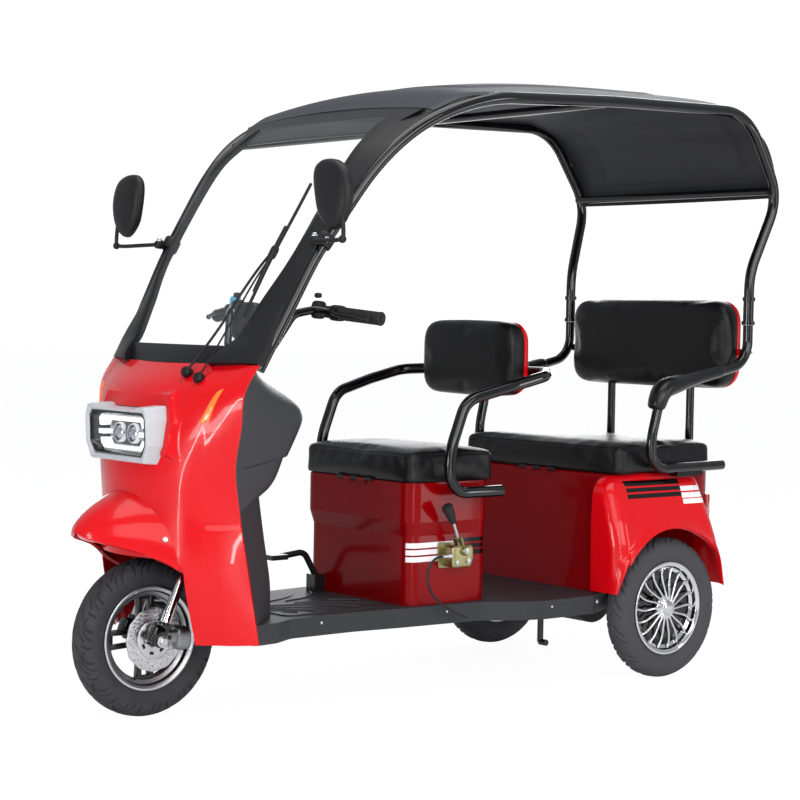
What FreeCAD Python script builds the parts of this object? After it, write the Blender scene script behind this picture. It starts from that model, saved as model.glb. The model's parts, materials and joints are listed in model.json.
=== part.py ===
import FreeCAD, Part
import math
import os
from FreeCAD import Vector

# An electric passenger tricycle: one steered wheel in front, two driven wheels behind, a
# driver's seat and a bench under one roof. Millimetres. Stations (x) are measured forward
# of the rear axle, y is to the left, z is up from the ground. On export the model is moved
# so that the origin is on the ground under the middle of its length.

wheelbase = 1545.0
rear_track = 732.0

tyre_radius = 205.0
tyre_width = 76.0
tyre_wall = 9.0
rim_radius = 136.0
bead_radius = 127.0
rim_width = 62.0
rim_wall = 4.0
flange = 5.0
front_spoke_pairs = 4
spoke_offset = 17.0
spoke_width = 14.0
spoke_depth = 18.0
rear_spokes = 20
hub_radius = 28.0

steering_rake = 23.0
axle_lead = 20.0
fork_half_width = 71.0
fork_leg_radius = 13.0
fork_slider_radius = 17.0
slider_length = 120.0
crown_height = 250.0
crown_thickness = 24.0
stem_radius = 14.0
head_bore_clearance = 0.5
head_wall = 8.0
head_height = 320.0
head_length = 120.0
stem_length = 790.0
bar_radius = 11.0
grip_radius = 16.5
disc_radius = 82.0
disc_thickness = 4.0
disc_offset = 46.0

floor_height = 255.0
floor_depth = 52.0
floor_wall = 5.0
mat_margin = 17.0
mat_half_width = 190.0
mat_height = 3.0
shell_wall = 4.0
arch_half_width = 196.0
deck_front = wheelbase - 153
deck_rear = 150.0
deck_rear_half_width = rear_track / 2 - 21
arch_top = 425.0

column_half_width = 150.0
column_rear = wheelbase - 300
shield_top = 600.0
glovebox_half_width = 215.0

screen_thickness = 4.0
tube_radius = 16.0
roof_thickness = 5.0

seat_gap = 0.3
cushion_thickness = 70.0
cushion_corner = 26.0
cushion_edge = 16.0
seat_board = 9.0
seat_board_inset = 16.0
hinge_radius = 4.0
hinge_pin_radius = 2.0
hinge_drop = 1.0
hinge_barrel_count = 5
hinge_pitch = 31.5
hinge_play = 1.5

front_box_rear = 562.0
front_box_front = 848.0
front_box_half_width = 228.0
front_box_top = 592.0
front_box_waist = 446.0
box_band = 38.0
box_step = 10.0

rear_box_front = 158.0
rear_box_foot = 196.0
rear_box_rear = -338.0
rear_box_corner = 130.0
rear_box_half_width = rear_track / 2 - 66
rear_box_top = 596.0
storage_floor = 385.0
skirt_height = 340.0

stand_station = 330.0
stand_offset = 205.0
stand_foot = 110.0

fender_arch_radius = 240.0
fender_gap = 0.3

# rear end, front end and half width of each seat cushion
front_seat_plan = (545.0, 864.0, 246.0)
rear_seat_plan = (-244.0, 166.0, rear_track / 2 - 20)

back_thickness = 62.0
post_radius = 13.0
post_station = -322.0
post_half_spacing = 170.0
back_pad_edge = 18.0
back_shell_thickness = 26.0
back_shell_edge = 14.0

rail_radius = 17.0
rail_half_spacing = 120.0
rail_rise = 90.0
cross_radius = 15.0

axle_tube_radius = 24.0
motor_radius = 82.0
drum_radius = 62.0
wheel_bore = 10.5
shock_station = -62.0
shock_half_spacing = 190.0
shock_radius = 16.0

axle_height = tyre_radius
front_reach = wheelbase + tyre_radius
rake = math.radians(steering_rake)
up_axis = Vector(-math.sin(rake), 0, math.cos(rake))
lead_axis = Vector(math.cos(rake), 0, math.sin(rake))
front_hub = Vector(wheelbase, 0, axle_height)
steer_base = front_hub - lead_axis * axle_lead


def box(x0, x1, y0, y1, z0, z1):
    return Part.makeBox(x1 - x0, y1 - y0, z1 - z0, Vector(x0, y0, z0))


def rod(start, end, radius):
    span = end - start
    return Part.makeCylinder(radius, span.Length, start, span)


def mirrored(shape):
    return shape.mirror(Vector(0, 0, 0), Vector(0, 1, 0))


def both_sides(shape):
    return [shape, mirrored(shape)]


def joined(pieces, refine=True):
    whole = pieces[0].fuse(pieces[1:])
    merged = whole.removeSplitter() if refine else whole
    return merged if merged.isValid() else whole


def group(pieces):
    return Part.makeCompound(pieces)


def corner_arc(before, corner, after, radius):
    # The arc that rounds one corner, as its start, middle and end.
    into = (corner - before).normalize()
    out = (after - corner).normalize()
    turn = into.getAngle(out)
    if turn < 0.01 or radius < 0.01:
        return None
    reach = radius * math.tan(turn / 2)
    start = corner - into * reach
    end = corner + out * reach
    inward = (out - into).normalize()
    centre = corner + inward * (radius / math.cos(turn / 2))
    return start, centre - inward * radius, end


def rounded_wire(corners, closed=True):
    # corners: (point, radius). Straight runs joined by tangent arcs.
    count = len(corners)
    edges = []
    last = None
    first = None
    for index in range(count):
        point, radius = corners[index]
        is_end = not closed and index in (0, count - 1)
        arc = None
        if not is_end:
            arc = corner_arc(corners[index - 1][0], point, corners[(index + 1) % count][0], radius)
        start = arc[0] if arc else point
        if last is not None and (start - last).Length > 0.001:
            edges.append(Part.LineSegment(last, start).toShape())
        if first is None:
            first = start
        if arc:
            edges.append(Part.Arc(*arc).toShape())
            last = arc[2]
        else:
            last = point
    if closed and (first - last).Length > 0.001:
        edges.append(Part.LineSegment(last, first).toShape())
    return Part.Wire(edges)


def side_profile(points, y0, y1):
    # points: (x, z, corner radius), pushed across the vehicle from y0 to y1.
    corners = [(Vector(x, y0, z), radius) for x, z, radius in points]
    return Part.Face(rounded_wire(corners)).extrude(Vector(0, y1 - y0, 0))


def plan_profile(points, z0, z1):
    # points: (x, y, corner radius), pushed up from z0 to z1.
    corners = [(Vector(x, y, z0), radius) for x, y, radius in points]
    return Part.Face(rounded_wire(corners)).extrude(Vector(0, 0, z1 - z0))


def plan_outline(x0, x1, half_width, z, corner):
    outline = [(x0, -half_width), (x1, -half_width), (x1, half_width), (x0, half_width)]
    return rounded_wire([(Vector(x, y, z), corner) for x, y in outline])


def plan_block(x0, x1, half_width, z0, z1, corner):
    return Part.Face(plan_outline(x0, x1, half_width, z0, corner)).extrude(Vector(0, 0, z1 - z0))


def front_block(x0, x1, half_width, z0, z1, corner):
    outline = [(-half_width, z0), (half_width, z0), (half_width, z1), (-half_width, z1)]
    corners = [(Vector(x0, y, z), corner) for y, z in outline]
    return Part.Face(rounded_wire(corners)).extrude(Vector(x1 - x0, 0, 0))


def bent_tube(route, radius):
    # route: (point, bend radius), with the two ends' radii unused.
    path = rounded_wire(route, closed=False)
    start = route[0][0]
    ring = Part.Wire(Part.makeCircle(radius, start, route[1][0] - start))
    return path.makePipeShell([ring], True, False)


def bowed_section(z, centre, edge, half_width, back):
    # One level of a panel that bows forward: an arc from side to side, closed at station back.
    left, middle, right = Vector(edge, half_width, z), Vector(centre, 0, z), Vector(edge, -half_width, z)
    runs = [Part.Arc(left, middle, right).toShape()]
    corners = [right, Vector(back, -half_width, z), Vector(back, half_width, z), left]
    for start, end in zip(corners, corners[1:]):
        runs.append(Part.LineSegment(start, end).toShape())
    return Part.Wire(runs)


def bowed_solid(levels, depth, inset=0.0):
    # levels: (z, centre station, edge station, half width)
    wires = []
    for z, centre, edge, half_width in levels:
        wires.append(bowed_section(z, centre - inset, edge - inset, half_width - inset, edge - depth))
    return Part.makeLoft(wires, True, True)


def from_front_axle(levels, *columns):
    # The same levels, with those columns moved from the front axle to their stations.
    return [tuple(value + wheelbase if column in columns else value for column, value in enumerate(level))
            for level in levels]


# Levels of the red front shell, from its foot to the foot of the windscreen.
cowl_levels = from_front_axle([
    # z, centre ahead of the front axle, crease and its half width, rear edge and its half width
    (208, 45, -50, 224, -159, 286),
    (410, 78, -6, 221, -128, 274),
    (560, 71, 6, 208, -99, 274),
    (660, 73, 10, 214, -68, 302),
    (760, 57, 4, 232, -61, 334),
    (860, 17, -30, 246, -69, 344),
    (918, -53, -84, 250, -107, 345),
], 1, 2, 4)
lamp_bottom = 662.0
lamp_top = 806.0
lamp_half_width = 146.0
lamp_front = wheelbase + 93
pod_front = wheelbase + 45
pod_margin = 16.0


def lamp_outline(x, grow, z_grow):
    # The eight-cornered outline of the headlamp.
    wide = lamp_half_width + grow
    points = [
        (-wide + 22, lamp_bottom - z_grow), (wide - 22, lamp_bottom - z_grow),
        (wide, lamp_bottom + 46), (wide, lamp_top - 30),
        (wide - 12, lamp_top + z_grow), (-wide + 12, lamp_top + z_grow),
        (-wide, lamp_top - 30), (-wide, lamp_bottom + 46),
    ]
    return rounded_wire([(Vector(x, y, z), 8) for y, z in points])


def lamp_prism(x0, x1, grow, z_grow):
    return Part.Face(lamp_outline(x0, grow, z_grow)).extrude(Vector(x1 - x0, 0, 0))


def cowl_section(level, depth, inset):
    # A bowed front between two creases, straight flanks behind them, closed behind the edges.
    z, centre, crease, crease_half, edge, edge_half = level
    near, far = crease_half - inset / 2, edge_half - inset
    left, right = Vector(crease - inset, near, z), Vector(crease - inset, -near, z)
    corners = [right, Vector(edge - inset, -far, z), Vector(edge - depth, -far, z),
               Vector(edge - depth, far, z), Vector(edge - inset, far, z), left]
    runs = [Part.Arc(left, Vector(centre - inset, 0, z), right).toShape()]
    runs += [Part.LineSegment(start, end).toShape() for start, end in zip(corners, corners[1:])]
    return Part.Wire(runs)


def cowl_solid(depth, inset=0.0):
    return Part.makeLoft([cowl_section(level, depth, inset) for level in cowl_levels], True, True)


def cowl_outer():
    return cowl_solid(0.5).fuse(lamp_prism(pod_front - 90, pod_front, pod_margin, pod_margin))


def front_cowl():
    hollow = cowl_solid(90, shell_wall)
    margin = pod_margin - shell_wall
    pod_hollow = lamp_prism(pod_front - 110, pod_front - shell_wall, margin, margin)
    arch = box(column_rear, front_reach, -arch_half_width, arch_half_width, 100, arch_top)
    lamp_hole = lamp_prism(column_rear, front_reach, -2, -2)
    return cowl_outer().cut(hollow.fuse(pod_hollow)).cut(arch).cut(lamp_hole)


beak_levels = from_front_axle([
    # ahead of the front axle, half width, lower edge z, crest z
    (202, 26, 488, 508),
    (150, 74, 470, 548),
    (88, 112, 452, 600),
    (7, 176, 414, 640),
], 0)


def hood_section(x, half_width, low, crest):
    left, right = Vector(x, half_width, low), Vector(x, -half_width, low)
    return Part.Wire([Part.Arc(left, Vector(x, 0, crest), right).toShape(),
                      Part.LineSegment(right, left).toShape()])


def front_mudguard():
    outer = Part.makeLoft([hood_section(*level) for level in beak_levels], True, True)
    inner_levels = [(x - shell_wall, max(half_width - shell_wall, 1.5), low - 0.5, crest - 1.5 * shell_wall)
                    for x, half_width, low, crest in beak_levels]
    inner = Part.makeLoft([hood_section(*level) for level in inner_levels], True, True)
    return outer.cut(inner).cut(cowl_outer())


def headlight_bezel():
    outer = lamp_prism(pod_front, lamp_front, 0, 0)
    return outer.cut(lamp_prism(pod_front - 20, lamp_front + 5, -9, -9)).cut(front_cowl())


def headlight_unit():
    back = lamp_prism(pod_front - 34, lamp_front - 16, -9.3, -9.3)
    dish = lamp_prism(pod_front - 24, lamp_front, -15, -15)
    lens_seats = [rod(Vector(pod_front - 28, y, 734), Vector(pod_front + 14, y, 734), 24) for y in (-42, 42)]
    return joined([back.cut(dish)] + lens_seats)


def headlight_lens():
    return lamp_prism(lamp_front - 12, lamp_front - 8, -9.3, -9.3)


def floor_outline(inset):
    half = [
        # x, half width, corner radius
        (deck_front, 272, 20), (deck_front - 82, 262, 30), (deck_front - 152, 224, 60),
        (front_box_front + 190, 224, 60), (front_box_front + 30, front_box_half_width + 14, 80),
        (front_box_front - 230, front_box_half_width + 34, 60),
        (500, deck_rear_half_width - 15, 50), (440, deck_rear_half_width, 40),
        (250, deck_rear_half_width, 30),
        (deck_rear, rear_box_half_width - 10, 10),
    ]
    rear = deck_rear + inset
    left = [(min(max(x, rear), deck_front - inset), y - inset, r) for x, y, r in half]
    right = [(x, -y, r) for x, y, r in reversed(left)]
    return left + right


def floor_pan():
    slab = plan_profile(floor_outline(0), floor_height - floor_depth, floor_height)
    under = plan_profile(floor_outline(floor_wall), floor_height - floor_depth - 5, floor_height - floor_wall)
    front_edge = column_rear + shell_wall + 2
    wheel_room = plan_block(front_edge, wheelbase, 165, 100, 300, 20)
    mat = plan_block(front_box_front + 70, column_rear - mat_margin, mat_half_width,
                     floor_height - 1, floor_height + mat_height, 30)
    return slab.fuse(mat).cut(under).cut(wheel_room).cut(chassis_frame())


def leg_shield():
    rear, wide, wall = column_rear, column_half_width, shell_wall + 1
    front, front_wide = deck_front + 8, 262
    outer = plan_profile([(front, front_wide, 0), (rear, wide, 24), (rear, -wide, 24),
                          (front, -front_wide, 0)], floor_height + seat_gap, shield_top)
    rear, wide, front, front_wide = rear + wall, wide - wall, front + 20, front_wide + 3
    inner = plan_profile([(front, front_wide, 0), (rear, wide, 20), (rear, -wide, 20),
                          (front, -front_wide, 0)], floor_height - 5, shield_top + 5)
    return outer.cut(inner).cut(glovebox_outer())


def stem_at(height):
    return steer_base + up_axis * height


def front_side_profile(points, half_width):
    # points: (ahead of the front axle, z, corner radius)
    return side_profile([(x + wheelbase, z, r) for x, z, r in points], -half_width, half_width)


def glovebox_outer():
    return front_side_profile([
        (-117, 560.3, 0), (-215, 572, 12), (-273, 612, 16), (-299, 672, 8), (-313, 690, 6),
        (-361, 778, 30), (-333, 818, 24), (-245, 862, 30), (-145, 898, 0), (-99, 898, 0),
        (-63, 800, 0), (-63, 740, 0), (-73, 660, 0),
    ], glovebox_half_width)


def glovebox():
    wall = shell_wall + 1
    inner = front_side_profile([
        (-45, 550, 0), (-45, 600, 0), (-200, 580, 12), (-264, 620, 16), (-293, 684, 8),
        (-353, 780, 26), (-333, 812, 22), (-243, 856, 28), (-143, 892, 0), (-45, 892, 0),
    ], glovebox_half_width - wall)
    slot = rod(stem_at(600), stem_at(900), stem_radius + 20)
    mouth = box(column_rear + 55, column_rear + 175, -column_half_width, column_half_width, 540, 600)
    return glovebox_outer().cut(inner).cut(slot).cut(mouth).cut(cowl_solid(0.5))


screen_levels = from_front_axle([
    # z, centre and edge ahead of the front axle, half width of the glass
    (962, -93, -112, 218),
    (1200, -227, -245, 294),
    (1434, -377, -395, 302),
    (1534, -483, -501, 284),
], 1, 2)


def windscreen():
    outer = bowed_solid(screen_levels, 30)
    inner_levels = [(z, centre - screen_thickness, edge - screen_thickness, wide + 20)
                    for z, centre, edge, wide in screen_levels]
    return outer.cut(bowed_solid(inner_levels, 60))


pillar_levels = from_front_axle([
    # z, inner edge ahead of the front axle and half width, the same of the outer edge
    (930, -89, 222, -125, 322),
    (1080, -171, 262, -203, 334),
    (1205, -245, 298, -279, 345),
    (1434, -393, 306, -433, 378),
    (1520, -481, 292, -533, 404),
], 1, 3)
pillar_depth = 22.0
trim_top = 962.0


def pillar_cover():
    wires = []
    for z, x_in, y_in, x_out, y_out in pillar_levels:
        corners = [Vector(x_in, y_in, z), Vector(x_out, y_out, z),
                   Vector(x_out - pillar_depth, y_out - 3, z), Vector(x_in - pillar_depth, y_in + 1, z)]
        wires.append(Part.makePolygon(corners + corners[:1]))
    return Part.makeLoft(wires, True, True)


def screen_frame():
    outer_levels = from_front_axle([(918.3, -51, -109, 300), (trim_top, -83, -115, 300)], 1, 2)
    inner_levels = from_front_axle([(900, -51, -109, 340), (980, -109, -139, 340)], 1, 2)
    trim = bowed_solid(outer_levels, 20).cut(bowed_solid(inner_levels, 90))
    header_levels = from_front_axle([(1526, -490, -508, 288), (1586, -556, -578, 296)], 1, 2)
    header = bowed_solid(header_levels, 34)
    return joined([trim, header] + both_sides(pillar_cover())).cut(roof_frame())


collar_height = 1036.0
hoop_station = -337.0
hoop_half_width = 384.0
collar_width = 12.0
pillar_route = from_front_axle([
    # ahead of the front axle, half width, z, bend radius: up the windscreen
    (-121, 323, 905, 0), (-275, 350, 1198, 900), (-427, 384, 1420, 700), (-535, 414, 1530, 500),
    (-725, 446, 1622, 600),
], 0)
rail_route = pillar_route + [
    # x, half width, z, bend radius: over the roof and down to the collar
    (300, 430, 1652, 2500), (-262, 424, 1666, 175), (-424, 415, 1424, 150),
    (hoop_station, hoop_half_width, 1190, 260), (hoop_station, hoop_half_width, collar_height, 0),
]
cross_bars = [
    # x, half width, z
    (wheelbase - 539, 412, 1524),
    (330, 428, 1645),
    (-388, 412, 1440),
]


def rail_tube(radius=tube_radius):
    return bent_tube([(Vector(x, y, z), bend) for x, y, z, bend in rail_route], radius)


def roof_frame():
    rails = both_sides(rail_tube())
    bars = [rod(Vector(x, -y, z), Vector(x, y, z), tube_radius - 4) for x, y, z in cross_bars]
    collars = [rod(Vector(hoop_station, y, z), Vector(hoop_station, y, z + collar_width), tube_radius + 4)
               for y in (-hoop_half_width, hoop_half_width) for z in (collar_height, collar_height + 72)]
    return joined(rails + bars + collars)


roof_levels = from_front_axle([
    # ahead of the front axle, rail height, tilt of the outward normal in degrees, half width, crown
    (-594, 1575, 25, 416, 13),
    (-689, 1617, 14, 440, 20),
    (-846, 1633, 5, 440, 30),
], 0) + [
    # x, rail height, tilt, half width, crown
    (419, 1647, 2, 434, 50),
    (60, 1661, 0, 428, 52),
    (-228, 1667, -6, 424, 46),
    (-363, 1614, -48, 424, 32),
    (-432, 1497, -80, 420, 20),
    (-426, 1417, -95, 418, 14),
]


def roof_section(level, lift):
    x, z, tilt, half_width, crown_rise = level
    angle = math.radians(tilt)
    normal = Vector(math.sin(angle), 0, math.cos(angle))
    middle = Vector(x, 0, z)
    side = Vector(0, half_width, 0)
    low, high = normal * (tube_radius + lift), normal * (tube_radius + lift + roof_thickness)
    crown = normal * crown_rise
    under = Part.Arc(middle - side + low, middle + low + crown, middle + side + low).toShape()
    over = Part.Arc(middle + side + high, middle + high + crown, middle - side + high).toShape()
    ends = [Part.LineSegment(middle + side + low, middle + side + high).toShape(),
            Part.LineSegment(middle - side + high, middle - side + low).toShape()]
    return Part.Wire([under, ends[0], over, ends[1]])


def roof_panel():
    return Part.makeLoft([roof_section(level, 0) for level in roof_levels], True, True)


def front_seat_box():
    # The upper part stands proud of the lower one, with a sloping band between them.
    x0, x1, wide, foot = front_box_rear, front_box_front, front_box_half_width, floor_height + seat_gap
    lower = plan_block(x0, x1, wide, foot, front_box_waist, 34)
    upper = plan_block(x0, x1 + box_step, wide + box_step, front_box_waist + box_band, front_box_top, 40)
    band_top = front_box_waist + box_band
    band = Part.makeLoft([plan_outline(x0, x1, wide, front_box_waist, 34),
                          plan_outline(x0, x1 + box_step, wide + box_step, band_top, 40)], True, True)
    wall = shell_wall
    room = plan_block(x0 + wall, x1 - wall, wide - wall, foot + wall, front_box_top + 5, 30)
    shell = joined([lower, band, upper]).cut(room)
    return joined([shell] + fixed_hinge(*front_hinge, front_box_front + box_step))


hinge_half_length = hinge_barrel_count * hinge_pitch / 2


def hinge_barrels(x, z, parts):
    # The barrels of a lid hinge along y, by their number from the right.
    long = hinge_pitch - hinge_play
    starts = [(index - hinge_barrel_count / 2) * hinge_pitch + hinge_play / 2 for index in parts]
    return [rod(Vector(x, start, z), Vector(x, start + long, z), hinge_radius) for start in starts]


def fixed_hinge(x, z, wall_x):
    # Two barrels, the pin and their leaf on the box's front wall.
    barrels = hinge_barrels(x, z, [1, 3])
    leaves = [box(wall_x - 0.5, x, barrel.BoundBox.YMin, barrel.BoundBox.YMax, z - 3 * hinge_radius, z)
              for barrel in barrels]
    pin = rod(Vector(x, -hinge_half_length, z), Vector(x, hinge_half_length, z), hinge_pin_radius)
    return barrels + leaves + [pin]


def lid_hinge(x, z, board_x, board_z):
    # Three barrels with tabs up to the lid's board, bored for the pin.
    barrels = hinge_barrels(x, z, [0, 2, 4])
    tab_end = x + hinge_radius - 1
    tabs = [box(board_x, tab_end, barrel.BoundBox.YMin, barrel.BoundBox.YMax, board_z, board_z + 4)
            for barrel in barrels]
    return barrels + tabs


def hinge_bore(x, z):
    reach = hinge_half_length + 3
    return rod(Vector(x, -reach, z), Vector(x, reach, z), hinge_pin_radius + 0.4)


def seat_cushion(x0, x1, half_width, z0):
    block = plan_block(x0, x1, half_width, z0, z0 + cushion_thickness, cushion_corner)
    top_edges = [edge for edge in block.Edges if edge.BoundBox.ZMin > z0 + cushion_thickness - 0.1]
    return block.makeFillet(cushion_edge, top_edges)


def seat_base(x0, x1, half_width, z0, hinge):
    board_front = x1 - seat_board_inset
    board = plan_block(x0 + seat_board_inset, board_front, half_width - seat_board_inset,
                       z0, z0 + seat_board - seat_gap, 20)
    return joined([board] + lid_hinge(*hinge, board_front - 1, z0 + 1)).cut(hinge_bore(*hinge))


front_lid_z = front_box_top + seat_gap
rear_lid_z = rear_box_top + seat_gap
front_hinge = (front_box_front + box_step + hinge_radius + 0.5, front_box_top - hinge_drop)
rear_hinge = (rear_box_front + hinge_radius + 0.5, rear_box_top - hinge_drop)


rail_crossing = 462 - back_thickness - 0.3 - back_shell_thickness - tube_radius - 0.3
front_rail_route = [
    # x, half width, z, bend radius: from the foot, up and back, then across behind the backrest
    (572, 290, 566, 0), (752, 290, 566, 62), (768, 290, 664, 220), (708, 291, 818, 74),
    (560, 314, 856, 260), (436, 318, 884, 60), (rail_crossing, 236, 890, 46),
]


def front_arm_rail():
    half = [(Vector(x, y, z), bend) for x, y, z, bend in front_rail_route]
    other = [(Vector(p.x, -p.y, p.z), bend) for p, bend in reversed(half)]
    tube = bent_tube(half + other, tube_radius)
    foot = box(590, 690, front_box_half_width + box_step, 290, 556, 576)
    return joined([tube] + both_sides(foot))


def backrest_pad(front, half_width, z0, z1, corner):
    block = front_block(front - back_thickness, front, half_width, z0, z1, corner)
    face = [edge for edge in block.Edges if edge.BoundBox.XMin > front - 0.1]
    return block.makeFillet(back_pad_edge, face)


def backrest_shell(front, half_width, z0, z1, corner):
    rear = front - back_thickness - 0.3
    block = front_block(rear - back_shell_thickness, rear, half_width - 8, z0 + 8, z1 - 8, corner - 8)
    face = [edge for edge in block.Edges if edge.BoundBox.XMax < rear - back_shell_thickness + 0.1]
    return block.makeFillet(back_shell_edge, face)


front_back = dict(front=462, half_width=198, z0=818, z1=1036, corner=62)
rear_back = dict(front=-292, half_width=rear_track / 2 - 30, z0=838, z1=1112, corner=72)


def rear_body_profile(inset, low):
    x0, x1 = rear_box_rear + inset, rear_box_front - inset
    foot, top = rear_box_foot - inset, rear_box_top - inset
    return [(foot, low, 0), (foot - 16, 380, 30), (x1, top, 10), (x0, top, 10), (x0, skirt_height, 0),
            (x1 - 50, skirt_height, 0), (x1 - 30, low, 0)]


def rear_plan(inset, wide):
    # The plan of the rear body, rounded at its two rear corners.
    rear, front, corner = rear_box_rear + inset, rear_box_foot + 10, rear_box_corner - inset
    outline = [(rear, -wide, corner), (front, -wide, 0), (front, wide, 0), (rear, wide, corner)]
    return plan_profile(outline, floor_height - 10, rear_box_top + 10)


def rear_body():
    # A skirt open below, with a storage tub let into its top.
    wide, wall, top = rear_box_half_width, shell_wall, rear_box_top
    skirt = side_profile(rear_body_profile(0, floor_height + 0.3), -wide, wide)
    below = side_profile(rear_body_profile(wall, floor_height - 5), -wide + wall, wide - wall)
    under = box(rear_box_rear + wall, rear_box_front, -wide + wall, wide - wall,
                skirt_height - 5, skirt_height + 60)
    x0, x1, deep = rear_box_rear + 105, rear_box_front - 18, wide - 24
    tub = box(x0, x1, -deep, deep, storage_floor - wall, top)
    room = box(x0 + wall, x1 - wall, -deep + wall, deep - wall, storage_floor, top + 5)
    shell = skirt.common(rear_plan(0, wide)).cut(below.fuse(under).common(rear_plan(wall, wide - wall)))
    return joined([shell, tub] + fixed_hinge(*rear_hinge, rear_box_front)).cut(room)


fender_levels = [
    # z, rear station, front station, outer face outside the middle of the tyre
    (262, -232, 226, 54),
    (400, -206, 228, 52),
    (460, -190, 230, 36),
    (540, -186, 228, 6),
    (588, -172, 196, -10),
]
fender_top = fender_levels[-1][0]


def fender():
    inner_y = rear_box_half_width + fender_gap

    def section(level, inset):
        z, rear, front, beyond = level
        outer = rear_track / 2 + beyond
        near = inner_y - 1.25 * inset
        points = [(rear + inset, near, 0), (front - inset, near, 0),
                  (front - inset, outer - inset, 26 - inset), (rear + inset, outer - inset, 26 - inset)]
        height = z - inset if z == fender_top else z
        return rounded_wire([(Vector(x, y, height), r) for x, y, r in points])

    outer = Part.makeLoft([section(level, 0) for level in fender_levels], True, False)
    inner = Part.makeLoft([section(level, shell_wall) for level in fender_levels], True, False)
    below = box(-220, 214, inner_y - 5, rear_track / 2 + 46, 200, fender_levels[0][0] + 0.5)
    arch_centre = Vector(0, inner_y + 20, axle_height - 4)
    arch = Part.makeCylinder(fender_arch_radius, 200, arch_centre, Vector(0, 1, 0))
    return outer.cut(inner).cut(below).cut(arch)


arm_half_width = rear_track / 2 + 8
rear_arm_route = [
    # x, half width, z, bend radius: from the collar down and forward, then down to the fender
    (hoop_station, hoop_half_width, collar_height - seat_gap, 0), (hoop_station, hoop_half_width, 922, 80),
    (-200, arm_half_width + 8, 892, 260), (28, arm_half_width + 5, 846, 70),
    (68, arm_half_width + 1, 690, 200), (56, arm_half_width, 612, 62), (-244, arm_half_width, 616, 0),
]


def rear_arm(radius=tube_radius - 1):
    tube = bent_tube([(Vector(x, y, z), bend) for x, y, z, bend in rear_arm_route], radius)
    foot = box(-150, -40, arm_half_width - 22, arm_half_width + 10, fender_top + seat_gap, 606)
    return joined([tube, foot])


def rear_arms():
    # The stay between the arms passes behind the backrest.
    half = [(Vector(hoop_station - 3, hoop_half_width - 4, 952), 0),
            (Vector(hoop_station - 61, hoop_half_width - 44, 952), 30)]
    other = [(Vector(p.x, -p.y, p.z), bend) for p, bend in reversed(half)]
    return joined(both_sides(rear_arm()) + [bent_tube(half + other, 11)])


def armrest_pad():
    start, end = Vector(-185, arm_half_width + 7, 888), Vector(15, arm_half_width + 4, 848)
    return rod(start, end, 25).cut(rear_arm(tube_radius - 0.8))


def backrest_posts(radius=post_radius, top=0.0):
    high = rear_back["z0"] + 80 + top
    return [rod(Vector(post_station, y, rear_box_top), Vector(post_station, y, high), radius)
            for y in (-post_half_spacing, post_half_spacing)]


def rear_backrest():
    # The posts run up into the pad.
    return backrest_pad(**rear_back).cut(group(backrest_posts(post_radius + 0.3, 0.3)))


def battery_pack():
    wide = front_box_half_width - 28
    return box(front_box_rear + 25, front_box_front - 25, -wide, wide, floor_height + 5, 430)


def chassis_frame():
    low = floor_height - 30
    high = low + rail_rise
    front = column_rear + 21
    rails = []
    for y in (-rail_half_spacing, rail_half_spacing):
        route = [(Vector(front, y, low), 0), (Vector(165, y, low), 50),
                 (Vector(75, y, high), 50), (Vector(-290, y, high), 0)]
        rails.append(bent_tube(route, rail_radius))
    crossings = [
        # x, half width, z
        (900, 200, low), (560, 235, low), (stand_station, 300, low),
        (60, 130, high), (shock_station, shock_half_spacing + 20, high), (-290, 250, high),
    ]
    bars = [rod(Vector(x, -wide, z), Vector(x, wide, z), cross_radius) for x, wide, z in crossings]
    bars += [rod(Vector(x, y, high), Vector(x, y, storage_floor - shell_wall - seat_gap), 12)
             for x in (-200, 60) for y in (-rail_half_spacing, rail_half_spacing)]
    stand = Vector(stand_station, stand_offset, stand_foot)
    bars += [rod(Vector(stand_station, stand_offset, low), stand, 9), rod(stand, stand + Vector(0, 26, 0), 9)]
    head = rod(stem_at(head_height), stem_at(head_height + head_length), stem_radius + head_wall)
    down_route = [(stem_at(head_height + 40), 0), (Vector(front + 12, 0, 470), 60),
                  (Vector(front + 8, 0, low), 0)]
    cross = rod(Vector(front, -rail_half_spacing - 12, low), Vector(front, rail_half_spacing + 12, low), 14)
    bore_radius = stem_radius + head_bore_clearance
    bore = rod(stem_at(head_height - 5), stem_at(head_height + head_length + 5), bore_radius)
    return joined(rails + bars + [head, bent_tube(down_route, 18), cross], refine=False).cut(bore)


def rear_axle():
    half, z = rear_track / 2, axle_height
    tube = rod(Vector(0, -half + 40, z), Vector(0, half - 40, z), axle_tube_radius)
    motor = rod(Vector(0, -70, z), Vector(0, 90, z), motor_radius)
    nose = box(20, 150, -50, 70, z - 55, z + 55)
    stubs = rod(Vector(0, -half - 28, z), Vector(0, half + 28, z), wheel_bore - 0.5)
    drums = [rod(Vector(0, side * (half - 58), z), Vector(0, side * (half - 40), z), drum_radius)
             for side in (-1, 1)]
    return joined([tube, motor, nose, stubs] + drums)


def rear_shock():
    x, y, z = shock_station, shock_half_spacing, axle_height
    top = floor_height - 30 + rail_rise - cross_radius - seat_gap
    body = rod(Vector(x, y, z), Vector(x, y, top), shock_radius)
    eye = box(x - 18, 0, y - 12, y + 12, z - 8, z + 8)
    return joined([body, eye]).cut(rod(Vector(0, -300, z), Vector(0, 300, z), axle_tube_radius))


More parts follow.
